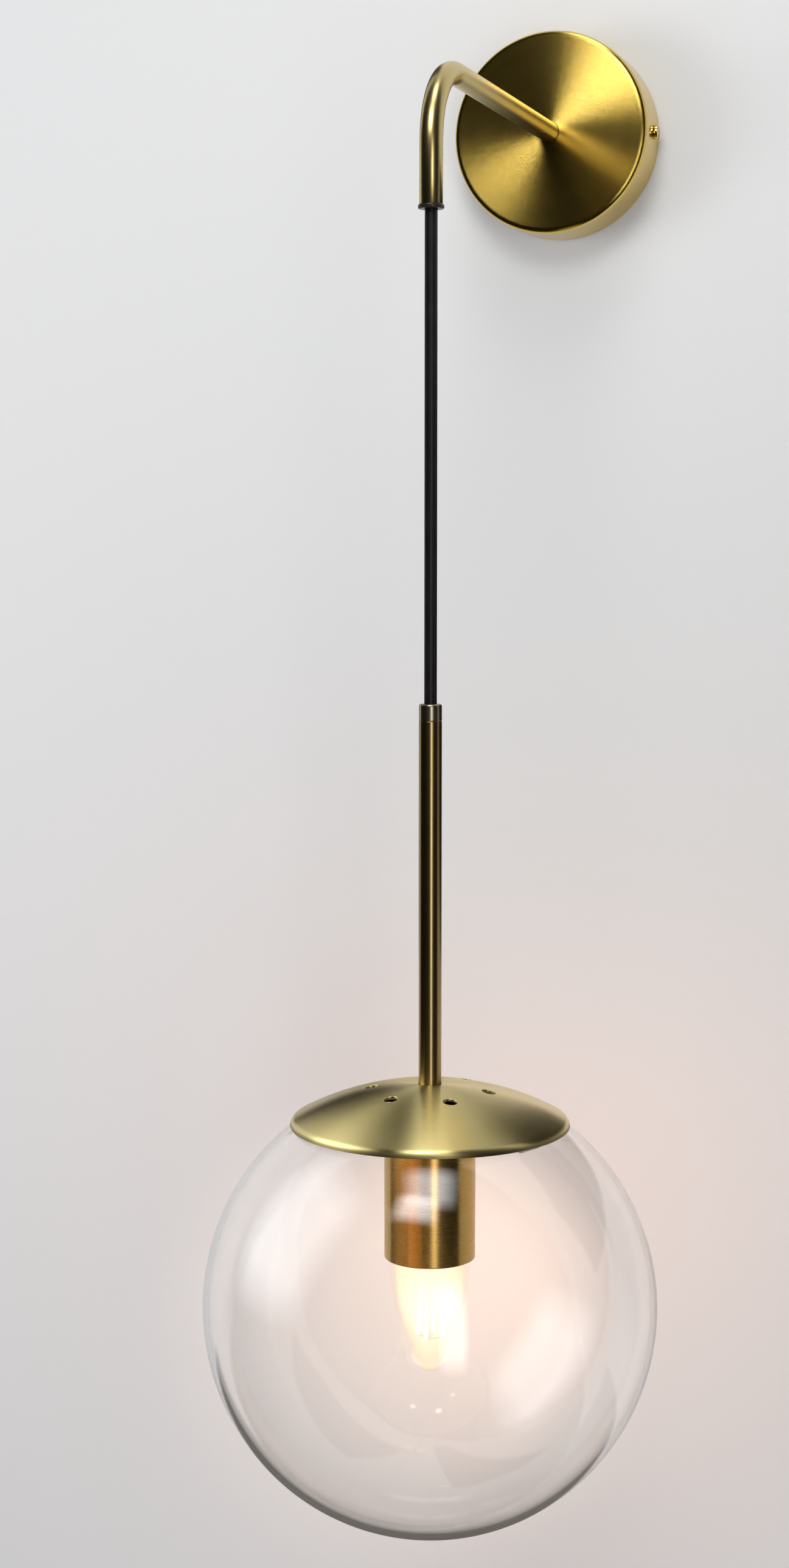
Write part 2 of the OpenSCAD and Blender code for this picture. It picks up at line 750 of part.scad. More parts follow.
// Corner of a clip arm's side view at point i of its path, above (1) or below (-1) the middle line
function run_normal(i) = let (d = unit(clip_path[i + 1] - clip_path[i])) [-d.y, d.x];
function clip_corner(i, side) = let (m = (run_normal(max(i - 1, 0)) + run_normal(min(i, len(clip_path) - 2))) / 2)
    clip_path[i] + side * clip_t / 2 * m / (m * m);

module clip_arm(width) {
    rotate([90, 0, 0]) translate([0, 0, -width / 2]) linear_extrude(width) polygon(concat(
        [for (i = [0 : len(clip_path) - 1]) clip_corner(i, 1)],
        [for (i = [len(clip_path) - 1 : -1 : 0]) clip_corner(i, -1)]
    ));
}

module glass_clip() {
    color("silver") on_lamp_axis() difference() {
        union() {
            along_z(clip_z, clip_z - clip_t, clip_hub_d / 2);
            for (i = [0 : clip_arms - 1]) {
                rotate([0, 0, clip_arm_angle(i)]) clip_arm(clip_arm_w);
            }
        }
        along_z(clip_z + 1, clip_z - clip_t - 1, rod_r + fit);
    }
}

module clip_sleeves() {
    color("whitesmoke") on_lamp_axis() for (i = [0 : clip_arms - 1]) {
        rotate([0, 0, clip_arm_angle(i)]) difference() {
            translate([clip_tip_r, clip_arm_w / 2 + sleeve_over, clip_tip_z]) rotate([90, 0, 0])
                cylinder(h = clip_arm_w + 2 * sleeve_over, r = sleeve_r);
            clip_arm(clip_arm_w);
        }
    }
}

module socket_cup() {
    color("goldenrod") on_lamp_axis() translate([0, 0, cup_z - cup_len]) difference() {
        rotate_extrude() difference() {
            union() {
                square([cup_d / 2, cup_len - cup_edge_r]);
                square([cup_d / 2 - cup_edge_r, cup_len]);
                translate([cup_d / 2 - cup_edge_r, cup_len - cup_edge_r]) circle(r = cup_edge_r);
            }
            translate([-1, -1]) square([cup_d / 2 - cup_wall + 1, cup_len - cup_edge_r + 1]);
            translate([-1, -1]) square([cup_d / 2 - cup_edge_r + 1, cup_len - cup_wall + 1]);
            translate([cup_d / 2 - cup_edge_r, cup_len - cup_edge_r]) circle(r = cup_edge_r - cup_wall);
        }
        along_z(cup_len + 1, cup_len - 3 * cup_wall, rod_r + fit);
    }
}

module holder_cap() {
    chamfer = cup_edge_r - cup_wall;
    color("black") on_lamp_axis() difference() {
        union() {
            along_z(holder_z - chamfer, sleeve_top_z, holder_r);
            translate([0, 0, holder_z - chamfer]) cylinder(h = chamfer, r1 = holder_r, r2 = holder_r - chamfer);
        }
        along_z(holder_z + 1, sleeve_top_z - 1, rod_r + fit);
        along_z(holder_z - holder_boss_h, sleeve_top_z - 1, holder_r - holder_cavity_wall);
    }
}

module holder_sleeve() {
    color("black") on_lamp_axis() difference() {
        along_z(sleeve_top_z, sleeve_end_z, holder_r);
        along_z(sleeve_top_z + 1, sleeve_end_z + sleeve_lip_h, holder_in_r);
        along_z(sleeve_top_z + 1, sleeve_end_z - 1, lip_in_r);
    }
}

module holder_insert() {
    color("white") on_lamp_axis() difference() {
        along_z(sleeve_top_z, sleeve_end_z + sleeve_lip_h, insert_r);
        along_z(insert_bottom_z, sleeve_end_z - 1, shell_out_r + fit);
    }
}

module holder_shell() {
    shell_top_z = insert_bottom_z - shell_margin;
    shell_end_z = sleeve_end_z + sleeve_lip_h + shell_margin;
    color("silver") on_lamp_axis() ring_z(shell_top_z, shell_end_z, shell_out_r, shell_r);
}

module holder_contact() {
    color("gold") on_lamp_axis() along_z(insert_bottom_z, contact_z, contact_r);
}

module holder_terminals() {
    color("gold") on_lamp_axis() for (side = [-1, 1]) {
        difference() {
            translate([side * terminal_x - terminal_size.x / 2, -terminal_size.y / 2, sleeve_top_z])
                cube(terminal_size);
            translate([side * terminal_x, -terminal_size.y, terminal_mid_z]) rotate([-90, 0, 0])
                cylinder(h = terminal_size.y, r = m3_r + fit);
        }
    }
}

module holder_terminal_screws() {
    color("silver") on_lamp_axis() for (side = [-1, 1]) {
        translate([side * terminal_x, -terminal_size.y / 2, terminal_mid_z]) rotate([90, 0, 0])
            slotted_screw(m3_r, m3_small_head_r, terminal_size.y / 2);
    }
}

module holder_leads() {
    for (side = [-1, 1]) {
        end_x = terminal_x - terminal_size.x / 2;
        color(side < 0 ? "saddlebrown" : "royalblue") on_lamp_axis() lead(concat(
            [[side * lead_inset, 0, lead_z]],
            curve([
                [side * lead_inset, 0, lead_z - lead_straight],
                [side * lead_inset, 0, terminal_mid_z],
                [side * lead_inset, 0, terminal_mid_z],
                [side * (end_x - lead_straight), 0, terminal_mid_z]
            ], 8),
            [[side * end_x, 0, terminal_mid_z]]
        ), [0, 1, 0]);
    }
}

module glass_globe() {
    wedge = 2 * globe_r;
    color("azure", 0.4) on_lamp_axis() translate([0, 0, globe_z]) rotate_extrude($fn = 180) {
        difference() {
            circle(r = globe_r);
            circle(r = globe_in_r);
            polygon([[0, 0], [0, wedge], [wedge * sin(mouth_angle), wedge * cos(mouth_angle)]]);
            translate([-wedge, -wedge]) square([wedge, 2 * wedge]);
        }
        translate([mouth_mid_r * sin(mouth_angle), mouth_mid_r * cos(mouth_angle)])
            circle(r = globe_wall / 2, $fn = 48);
    }
}

module bulb_cap() {
    ridges = floor(bulb_shell_h / cap_pitch);
    groove_r = pow(groove_share * cap_pitch / 2, 2) / (2 * ridge_depth) + ridge_depth / 2;
    color("silver") on_lamp_axis() rotate_extrude() difference() {
        translate([0, bulb_neck_z]) square([bulb_cap_r, bulb_shell_z - bulb_neck_z]);
        translate([-1, bulb_neck_z - 1])
            square([bulb_bore_r + 1, bulb_shell_z - bulb_neck_z + 2]);
        for (i = [0 : ridges - 1]) {
            translate([bulb_cap_r + groove_r - ridge_depth, bulb_shell_z - cap_pitch * (i + 0.5)])
                circle(r = groove_r);
        }
    }
}

module bulb_insulator() {
    color("black") on_lamp_axis() translate([0, 0, bulb_shell_z])
        cylinder(h = bulb_insulator_h, r1 = bulb_insulator_r, r2 = bulb_contact_r);
}

module bulb_contact() {
    color("gainsboro") on_lamp_axis() along_z(bulb_top_z, bulb_top_z - bulb_contact_h, bulb_contact_r);
}

// Half outline of the bulb's glass, drawn in by the inset
module bulb_half(inset) {
    intersection() {
        translate([0, bulb_tip_z - bulb_tip_r]) square([bulb_r, bulb_neck_z - inset - bulb_tip_z + bulb_tip_r]);
        union() {
            translate([0, bulb_tip_z]) circle(r = bulb_tip_r - inset);
            translate([bulb_r - bulb_side_r, bulb_wide_z]) intersection() {
                circle(r = bulb_side_r - inset, $fn = 180);
                polygon([
                    [0, 0],
                    [2 * bulb_side_r, 0],
                    [2 * bulb_side_r * cos(bulb_turn), -2 * bulb_side_r * sin(bulb_turn)]
                ]);
            }
            intersection() {
                translate([bulb_r - bulb_upper_r, bulb_wide_z]) circle(r = bulb_upper_r - inset, $fn = 180);
                translate([0, bulb_wide_z]) square([bulb_r, bulb_wide_drop]);
            }
        }
    }
}

module bulb_glass() {
    color("azure", 0.4) on_lamp_axis() rotate_extrude() difference() {
        union() {
            bulb_half(0);
            translate([0, bulb_neck_z - eps]) square([bulb_bore_r - fit, neck_len]);
        }
        bulb_half(bulb_wall);
        translate([-1, bulb_neck_z - 2 * bulb_wall]) square([bulb_bore_r - bulb_wall + 1, neck_len + 2]);
    }
}

module bulb_stem() {
    color("azure", 0.5) on_lamp_axis() {
        along_z(bulb_neck_z + stem_flange, bulb_neck_z, bulb_bore_r - bulb_wall - fit);
        translate([0, 0, bulb_neck_z - stem_h / 2]) cylinder(h = stem_h / 2, r1 = stem_top_r, r2 = stem_base_r);
        along_z(bulb_neck_z - stem_h / 2, stem_end_z, stem_top_r);
    }
}

function filament_point(i, r, z) = [r * cos(360 * i / filament_count), r * sin(360 * i / filament_count), z];

module bulb_filaments() {
    color("gold") on_lamp_axis() for (i = [0 : filament_count - 1]) {
        rod_between(filament_point(i, filament_start_r, filament_start_z),
            filament_point(i, filament_end_r, filament_end_z), filament_d / 2);
    }
}

module bulb_supports() {
    color("gray") on_lamp_axis() {
        along_z(stem_end_z, support_end_z, support_r);
        for (i = [0 : filament_count - 1]) {
            rod_between([0, 0, support_end_z + support_r],
                filament_point(i, filament_end_r, filament_end_z), support_r);
            rod_between([0, 0, support_top_z],
                filament_point(i, filament_start_r, filament_start_z), support_r);
        }
    }
}

wall_bracket();
canopy();
canopy_screws();
arm_tube();
arm_backing_plate();
arm_washer();
arm_nut();
arm_end_bush();
cord_anchor();
cord_anchor_screw();
cord_in_arm();
terminal_block();
terminal_sleeves();
terminal_screws();
terminal_fixing_screw();
live_lead();
neutral_lead();
earth_lead();
earth_link();
earth_ring();
earth_screw();
cord();
cord_grip();
cord_grip_screw();
rod_tube();
cord_in_rod();
dome_cap();
dome_nut();
seat_ring();
glass_clip();
clip_sleeves();
clip_nut();
socket_cup();
holder_cap();
holder_sleeve();
holder_insert();
holder_shell();
holder_contact();
holder_terminals();
holder_terminal_screws();
holder_leads();
glass_globe();
bulb_cap();
bulb_insulator();
bulb_contact();
bulb_glass();
bulb_stem();
bulb_filaments();
bulb_supports();
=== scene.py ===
"""Looks of a globe wall lamp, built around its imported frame.

Metres. X runs along the wall, +Y into the wall, Z is up, and the origin is on the wall behind the canopy.
"""

import json
import math

import bmesh
import bpy
from mathutils import Matrix, Vector


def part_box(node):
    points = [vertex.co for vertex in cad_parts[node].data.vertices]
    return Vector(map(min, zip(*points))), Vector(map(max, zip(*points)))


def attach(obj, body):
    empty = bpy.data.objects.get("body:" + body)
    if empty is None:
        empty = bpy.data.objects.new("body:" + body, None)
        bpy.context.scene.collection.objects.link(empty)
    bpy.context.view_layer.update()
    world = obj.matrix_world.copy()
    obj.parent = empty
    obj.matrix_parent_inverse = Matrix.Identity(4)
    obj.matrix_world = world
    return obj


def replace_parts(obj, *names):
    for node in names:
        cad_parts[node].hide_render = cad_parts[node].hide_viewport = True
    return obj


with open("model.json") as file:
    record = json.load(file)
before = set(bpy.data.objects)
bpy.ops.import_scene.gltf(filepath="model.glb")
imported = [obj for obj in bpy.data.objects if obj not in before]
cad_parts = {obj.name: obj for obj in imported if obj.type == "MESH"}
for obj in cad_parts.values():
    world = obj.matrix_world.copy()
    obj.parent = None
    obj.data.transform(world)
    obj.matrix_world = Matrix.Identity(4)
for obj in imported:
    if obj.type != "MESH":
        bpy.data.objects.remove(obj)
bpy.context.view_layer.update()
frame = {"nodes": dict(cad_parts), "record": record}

bl_info = {
    "name": "Globe wall lamp",
    "version": (1, 0, 0),
    "blender": (4, 5, 0),
    "location": "View3D > Sidebar > Lamp",
    "description": "Dresses a globe wall lamp in brass, glass and cord",
    "category": "Object",
}

MM = 0.001

# Points nearer than this are one point
TOUCHING = 1e-6

# Cells of noise in a metre: turned rings, flecks along a spun ring, broad rings, cloudy wear
TURNED, FLECKS, BROAD, CLOUDS = 2200.0, 9000.0, 260.0, 30.0


def low(node):
    """Lowest corner of a CAD node."""
    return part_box(node)[0]


def high(node):
    """Highest corner of a CAD node."""
    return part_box(node)[1]


def centre(node):
    """Middle of a CAD node's box."""
    return (low(node) + high(node)) / 2


def span(node):
    """Size of a CAD node's box."""
    return high(node) - low(node)


RECORD = frame["record"]
BODY = {node: body for body, nodes in RECORD["behaviour"]["bodies"].items() for node in nodes}

# The room: where its floor lies, how far it reaches and how far its wall stands behind the lamp
FLOOR = -1.1
ROOM = 4
WALL_GAP = 0.3 * MM

# Read from the frame: the lamp's vertical axis, the heights along it and the hole that the rod passes
AXIS = Vector((centre("rod_tube").x, centre("rod_tube").y, 0))
CORD_TOP = high("cord").z - span("cord").x / 2
CORD_FOOT = low("cord").z + span("cord").x / 2
GRIP_FOOT = high("rod_tube").z
ROD_FOOT = low("rod_tube").z
RIM = low("dome_cap").z
CUP_FOOT = low("socket_cup").z
SLIP = 0.05 * MM
HUB_HOLE = span("rod_tube").x / 2 + SLIP


def a_length(name, description, millimetres):
    """A length, written in millimetres and kept in metres."""
    return bpy.props.FloatProperty(
        name=name, description=description, default=millimetres * MM, min=0, precision=5, unit="LENGTH")


def an_angle(name, description, degrees):
    """An angle, written in degrees and kept in radians."""
    return bpy.props.FloatProperty(
        name=name, description=description, default=math.radians(degrees), subtype="ANGLE")


def a_colour(name, description, colour):
    return bpy.props.FloatVectorProperty(
        name=name, description=description, default=colour, min=0, max=1, subtype="COLOR")


def a_count(name, description, count):
    return bpy.props.IntProperty(name=name, description=description, default=count, min=1)


class CanopySizes(bpy.types.PropertyGroup):
    """Sizes and colour of the wall canopy."""

    wall: a_length("Wall", "Sheet thickness of the canopy", 1.2)
    edge: a_length("Edge", "Radius of the rolled front edge", 2.6)
    hem: a_length("Hem", "Rounding of the edge on the wall", 0.35)
    groove: a_length("Groove", "Spacing of the turning rings", 0.04)
    tilt: an_angle("Tilt", "How far the rings tilt the face", 36)
    colour: a_colour("Colour", "Brass of the canopy", (0.74, 0.53, 0.12))
    steps: a_count("Steps", "Facets round the canopy", 192)


class ArmSizes(bpy.types.PropertyGroup):
    """Sizes and colours of the arm and its end bush."""

    bend: a_length("Bend", "Bend radius on the arm's middle line", 34)
    wall: a_length("Wall", "Wall of the tube", 1)
    ease: a_length("Ease", "Rounding of the tube's ends", 0.4)
    lip: a_length("Lip", "Height of the end bush's lip", 1.8)
    colour: a_colour("Colour", "Satin brass of the arm", (0.62, 0.50, 0.22))
    bush_colour: a_colour("Bush colour", "Dark end bush", (0.025, 0.02, 0.016))


class CordSizes(bpy.types.PropertyGroup):
    """Sizes and colour of the hanging cord."""

    rings: a_count("Rings", "Rings along the cord", 40)
    sides: a_count("Sides", "Facets round the cord", 32)
    colour: a_colour("Colour", "Black sheath", (0.008, 0.008, 0.009))


class RodSizes(bpy.types.PropertyGroup):
    """Sizes and colours of the rod and its cord grip."""

    chamfer: a_length("Chamfer", "Edge rounding of rod and grip", 0.35)
    wall: a_length("Wall", "Wall of the rod", 1)
    colour: a_colour("Colour", "Antique brass of the rod", (0.40, 0.29, 0.13))
    grip_colour: a_colour("Grip colour", "Greyer brass of the grip", (0.42, 0.37, 0.27))


class DomeSizes(bpy.types.PropertyGroup):
    """Sizes and colour of the vented dome cap."""

    height: a_length("Height", "Height of the dome", 18.4)
    radius: a_length("Radius", "Radius of the dome's rim", 61.3)
    wall: a_length("Wall", "Sheet thickness of the dome", 1.2)
    shoulder: a_length("Shoulder", "Radius of the dome's shoulder", 4)
    vents: a_count("Vents", "Number of vent holes", 6)
    vent_radius: a_length("Vent radius", "Radius of a vent hole", 3)
    vent_ring: a_length("Vent ring", "Radius of the circle of vents", 26)
    phase: an_angle("Phase", "Direction of the first vent", -52)
    colour: a_colour("Colour", "Pale brushed brass", (0.78, 0.65, 0.28))


class GlobeSizes(bpy.types.PropertyGroup):
    """Sizes and colour of the glass globe."""

    radius: a_length("Radius", "Outer radius of the globe", 100)
    wall: a_length("Wall", "Thickness of the glass", 2.5)
    mouth: a_length("Mouth", "Radius of the mouth at the outer surface", 52)
    tint: a_colour("Tint", "Tint of the glass", (0.985, 0.99, 0.988))
    # Grey painted towards the globe's lower outline: partly the tint of a longer path through the wall,
    # partly painted shade
    edge: a_colour("Edge", "Tint of the glass seen along its wall", (0.62, 0.62, 0.58))


class CupSizes(bpy.types.PropertyGroup):
    """Sizes and colour of the socket cup."""

    wall: a_length("Wall", "Sheet thickness of the cup", 1)
    edge: a_length("Edge", "Radius of the cup's top edge", 3)
    colour: a_colour("Colour", "Brass of the cup", (0.72, 0.44, 0.13))


class BulbSizes(bpy.types.PropertyGroup):
    """Sizes, colours and glow of the bulb."""

    tip: a_length("Tip", "Radius of the bulb's rounded tip", 6)
    neck: a_length("Neck", "Radius of the bulb's neck", 12.6)
    shoulder: a_length("Shoulder", "Height from the neck to the widest place", 18)
    core: a_colour("Core", "Colour of the light at the bulb's middle", (1.0, 0.97, 0.84))
    rim: a_colour("Rim", "Colour of the light at the bulb's ends", (1.0, 0.80, 0.44))
    glow: bpy.props.FloatProperty(name="Glow", description="Strength of the bulb's light", default=1.15)


GROUPS = {
    "lamp_canopy": CanopySizes,
    "lamp_arm": ArmSizes,
    "lamp_cord": CordSizes,
    "lamp_rod": RodSizes,
    "lamp_dome": DomeSizes,
    "lamp_globe": GlobeSizes,
    "lamp_cup": CupSizes,
    "lamp_bulb": BulbSizes,
}


class Wire:
    """An output in a node tree, whose arithmetic adds Math nodes."""

    def __init__(self, graph, socket):
        self.graph = graph
        self.socket = socket

    def __add__(self, other):
        return self.graph.math("ADD", self, other)

    __radd__ = __add__

    def __sub__(self, other):
        return self.graph.math("SUBTRACT", self, other)

    def __rsub__(self, other):
        return self.graph.math("SUBTRACT", other, self)

    def __mul__(self, other):
        return self.graph.math("MULTIPLY", self, other)

    __rmul__ = __mul__

    def __truediv__(self, other):
        return self.graph.math("DIVIDE", self, other)


class Graph:
    """A node tree that is built by method calls."""

    def __init__(self, tree):
        self.tree = tree

    def node(self, kind, settings=None, values=None, output=0):
        """One node: its settings first, then the values or links of its inputs. Gives the chosen output."""
        node = self.tree.nodes.new(kind)
        for name, value in (settings or {}).items():
            setattr(node, name, value)
        for key, value in (values or {}).items():
            if isinstance(value, Wire):
                self.tree.links.new(value.socket, node.inputs[key])
            else:
                node.inputs[key].default_value = value
        return Wire(self, node.outputs[output])

    def math(self, operation, *values):
        return self.node("ShaderNodeMath", {"operation": operation}, dict(enumerate(values)))

    def clamp(self, value):
        return self.node("ShaderNodeClamp", None, {"Value": value})

    def split(self, vector):
        """The three numbers of a vector."""
        parts = self.node("ShaderNodeSeparateXYZ", None, {"Vector": vector}).socket.node
        return [Wire(self, parts.outputs[i]) for i in range(3)]

    def join(self, x, y, z):
        return self.node("ShaderNodeCombineXYZ", None, {"X": x, "Y": y, "Z": z})


class Finish(Graph):
    """A material that is being written."""

    def __init__(self, name):
        self.material = bpy.data.materials.new(name)
        self.material.use_nodes = True
        super().__init__(self.material.node_tree)
        self.tree.nodes.clear()
        self.place = self.node("ShaderNodeTexCoord", output="Object")

    def around(self, origin):
        """Object coordinates measured from an upright axis."""
        return self.node("ShaderNodeMapping", None, {"Vector": self.place, "Location": -origin})

    def noise(self, vector, scale, detail, roughness=0.5):
        return self.node("ShaderNodeTexNoise", None, {
            "Vector": vector, "Scale": scale, "Detail": detail, "Roughness": roughness})

    def blend(self, share, first, second):
        """Mixes two colours."""
        values = {"Factor": share}
        for key, colour in ((6, first), (7, second)):
            values[key] = colour if isinstance(colour, Wire) else (*colour, 1)
        return self.node("ShaderNodeMix", {"data_type": "RGBA"}, values, output=2)

    def bump(self, height, strength, distance):
        return self.node("ShaderNodeBump", None, {
            "Height": height, "Strength": strength, "Distance": distance})

    def surface(self, **values):
        """The Principled shader, with the given sockets."""
        named = {name.replace("_", " "): value for name, value in values.items()}
        for name in ("Base Color", "Emission Color"):
            if name in named and not isinstance(named[name], Wire):
                named[name] = (*named[name], 1)
        return self.node("ShaderNodeBsdfPrincipled", None, named)

    def close(self, shader):
        """Links the shader to the material's output and gives the material."""
        out = self.tree.nodes.new("ShaderNodeOutputMaterial")
        self.tree.links.new(shader.socket, out.inputs["Surface"])
        return self.material


def shade(colour, share):
    """A colour made darker or lighter."""
    return tuple(min(c * share, 1) for c in colour)


def turned_brass(name, colour, roughness, patina, streak, depth=0.5, hem=None):
    """Brass turned round a vertical axis: fine rings spread the light up and down, with a thin patina.

    Below the height of a hem the brass is painted dark, a painted dark reflection along the rim, and its
    gloss is duller.
    """
    f = Finish(name)
    x, y, z = f.split(f.around(AXIS))
    reach = f.math("SQRT", x * x + y * y)
    rings = f.noise(f.join(reach * TURNED, z * TURNED, 0.0), 1.0, 3.0, 0.6)
    cloud = f.noise(f.place, CLOUDS, 4.0, 0.55)
    worn = f.blend(f.clamp((cloud - 0.42) * 2.2) * patina, colour, shade(colour, 0.62))
    tone = f.blend(f.clamp((rings - 0.35) * 1.6) * 0.3, worn, shade(colour, 1.15))
    polish = roughness + (rings - 0.5) * 0.08 + (cloud - 0.5) * 0.08
    if hem is not None:
        # Painted dark reflection: below the hem the colour is darkened and the gloss is dulled
        painted_dark_rim = f.clamp((hem - z) / (1.2 * MM))
        tone = f.blend(painted_dark_rim * 0.8, tone, shade(colour, 0.3))
        polish = polish + painted_dark_rim * 0.2
    return f.close(f.surface(
        Base_Color=tone, Metallic=1.0, Roughness=f.clamp(polish), Anisotropic=streak,
        Anisotropic_Rotation=0.25, Normal=f.bump(rings, depth, 0.004 * MM)))


def spun_brass(name, sizes):
    """Brass spun on a flat face: its rings tilt the surface in and out, so light gathers in four sectors."""
    f = Finish(name)
    colour = sizes.colour
    x, _, z = f.split(f.place)
    reach = f.math("SQRT", x * x + z * z) + 1e-6
    rings = f.noise(f.join(reach / sizes.groove, x * FLECKS, z * FLECKS), 1.0, 2.0, 0.5)
    wide = f.noise(f.join(reach * BROAD, 0.0, 0.0), 1.0, 2.0, 0.5)
    cloud = f.noise(f.place, CLOUDS, 4.0, 0.55)
    tilt = (rings - 0.5) * (2 * math.tan(sizes.tilt))
    lean = f.join(x / reach * tilt, 0.0, z / reach * tilt)
    face = f.node("ShaderNodeNewGeometry", output="Normal")
    normal = f.node("ShaderNodeVectorMath", {"operation": "NORMALIZE"}, {
        0: f.node("ShaderNodeVectorMath", {"operation": "ADD"}, {0: face, 1: lean})})
    worn = f.blend(f.clamp((cloud - 0.42) * 2.2) * 0.2, colour, shade(colour, 0.7))
    tone = f.blend(f.clamp((wide - 0.35) * 1.6) * 0.2, worn, shade(colour, 1.12))
    return f.close(f.surface(
        Base_Color=tone, Metallic=1.0, Roughness=f.clamp(0.155 + (wide - 0.5) * 0.03), Normal=normal))


def drawn_brass(name, colour, roughness):
    """Tube and bar brass, satin and smooth, with a faint patina and fine polishing lines in its gloss."""
    f = Finish(name)
    lines = f.noise(f.node("ShaderNodeMapping", None, {
        "Vector": f.place, "Scale": (0.1, 0.1, 1.0)}), 1500.0, 2.0)
    cloud = f.noise(f.place, 32.0, 3.0, 0.5)
    tone = f.blend(f.clamp((cloud - 0.42) * 2.0) * 0.15, colour, shade(colour, 0.7))
    polish = roughness + (cloud - 0.5) * 0.04 + (lines - 0.5) * 0.012
    return f.close(f.surface(Base_Color=tone, Metallic=1.0, Roughness=f.clamp(polish)))


def plated_steel(name, colour=(0.62, 0.63, 0.64), roughness=0.34):
    """Zinc plate, with its cloudy grain."""
    f = Finish(name)
    grain = f.node("ShaderNodeTexVoronoi", None, {"Vector": f.place, "Scale": 420.0})
    cloud = f.noise(f.place, 70.0, 3.0)
    tone = f.blend(f.clamp(grain * 0.8), colour, shade(colour, 0.8))
    return f.close(f.surface(
        Base_Color=tone, Metallic=1.0, Roughness=f.clamp(roughness + (cloud - 0.5) * 0.2),
        Normal=f.bump(cloud, 0.3, 0.05 * MM)))


def moulded(name, colour, roughness=0.35, coat=0.0):
    """Moulded plastic or ceramic with a fine skin."""
    f = Finish(name)
    skin = f.noise(f.place, 1900.0, 2.0)
    cloud = f.noise(f.place, 45.0, 3.0)
    tone = f.blend(f.clamp((cloud - 0.4) * 2), colour, shade(colour, 0.86))
    return f.close(f.surface(
        Base_Color=tone, Roughness=f.clamp(roughness + (cloud - 0.5) * 0.15), Coat_Weight=coat,
        Normal=f.bump(skin, 0.25, 0.02 * MM)))


def cord_sheath(name, colour):
    """Smooth extruded sheath with faint drawing lines along it."""
    f = Finish(name)
    lines = f.noise(f.node("ShaderNodeMapping", None, {
        "Vector": f.place, "Scale": (1.0, 1.0, 0.03)}), 1500.0, 2.0)
    cloud = f.noise(f.place, 90.0, 3.0)
    tone = f.blend(f.clamp((cloud - 0.35) * 1.8), colour, shade(colour, 1.7))
    return f.close(f.surface(
        Base_Color=tone, Roughness=f.clamp(0.42 + (cloud - 0.5) * 0.2), Specular_IOR_Level=0.3,
        Normal=f.bump(lines, 0.4, 0.03 * MM)))


def clear_glass(name, tint, edge, middle, radius):
    """Blown glass, faintly wavy, with grey painted towards the outline of its lower half: partly the tint of
    a longer path through the wall, partly painted shade.

    Lamps and diffuse light pass straight through it.
    """
    f = Finish(name)
    waves = f.noise(f.place, 14.0, 1.0)
    facing = f.node("ShaderNodeLayerWeight", None, {"Blend": 0.5}, output="Facing")
    height = f.split(f.place)[2]
    # Painted shade: grey mixed in towards the outline and kept to the lower half
    share = f.clamp((facing - 0.7) * 3.3) * f.clamp((middle - height) / radius * 1.1)
    glass = f.surface(
        Base_Color=f.blend(share, tint, edge), Roughness=0.0, IOR=1.47, Transmission_Weight=1.0,
        Normal=f.bump(waves, 0.12, 1.2 * MM))
    shadow = f.node("ShaderNodeLightPath", output="Is Shadow Ray")
    spread = f.node("ShaderNodeLightPath", output="Is Diffuse Ray")
    passing = f.math("MAXIMUM", shadow, spread)
    open_way = f.node("ShaderNodeBsdfTransparent", None, {"Color": (0.96, 0.96, 0.96, 1)})
    return f.close(f.node("ShaderNodeMixShader", None, {0: passing, 1: glass, 2: open_way}))


def lit_bulb(name, sizes, top, foot):
    """Clear glass full of light: bright at its middle, warmer towards the ends and fading at the edges."""
    f = Finish(name)
    height = f.split(f.place)[2]
    along = (height - foot) * (1 / (top - foot))
    cloud = f.noise(f.place, 55.0, 2.0)
    facing = f.node("ShaderNodeLayerWeight", None, {"Blend": 0.5}, output="Facing")
    middle = f.clamp(1.2 - f.math("ABSOLUTE", along - 0.45) * 1.6 - facing * 1.2 + (cloud - 0.5) * 0.2)
    light = f.blend(middle, sizes.rim, sizes.core)
    glow = f.surface(
        Base_Color=(0.04, 0.03, 0.02), Roughness=0.5, Specular_IOR_Level=0.0, Emission_Color=light,
        Emission_Strength=sizes.glow)
    clear = f.node("ShaderNodeBsdfTransparent", None, {"Color": (1.0, 0.985, 0.95, 1)})
    body = f.clamp(1.1 - facing * 1.9) * f.clamp(along * 3.0 + 0.15)
    return f.close(f.node("ShaderNodeMixShader", None, {0: body, 1: clear, 2: glow}))


def painted(name, colour):
    """Plain matt paint with a very faint mottle, for the studio: its finish, still open, and its shader."""
    f = Finish(name)
    cloud = f.noise(f.place, 1.3, 3.0)
    tone = f.blend(cloud, shade(colour, 0.985), shade(colour, 1.015))
    return f, f.surface(Base_Color=tone, Roughness=0.9, Specular_IOR_Level=0.1)


def in_scene(name, data):
    """A new object in the scene, with its mesh, light or camera."""
    thing = bpy.data.objects.new(name, data)
    bpy.context.scene.collection.objects.link(thing)
    return thing


def mesh_object(name, build):
    """A mesh object at the origin, from a function that fills a bmesh."""
    mesh = bpy.data.meshes.new(name)
    body = bmesh.new()
    build(body)
    body.to_mesh(mesh)
    body.free()
    return in_scene(name, mesh)


def tidy(thing, turn=None):
    """Merges doubles, turns the mesh into place, points its faces outwards and shades them smooth."""
    body = bmesh.new()
    body.from_mesh(thing.data)
    bmesh.ops.remove_doubles(body, verts=body.verts, dist=TOUCHING / 10)
    if turn is not None:
        bmesh.ops.transform(body, matrix=turn, verts=body.verts)
    bmesh.ops.recalc_face_normals(body, faces=body.faces)
    for face in body.faces:
        face.smooth = True
    body.to_mesh(thing.data)
    body.free()
    return thing


def paint(thing, material):
    """Gives a mesh its only material."""
    thing.data.materials.clear()
    thing.data.materials.append(material)


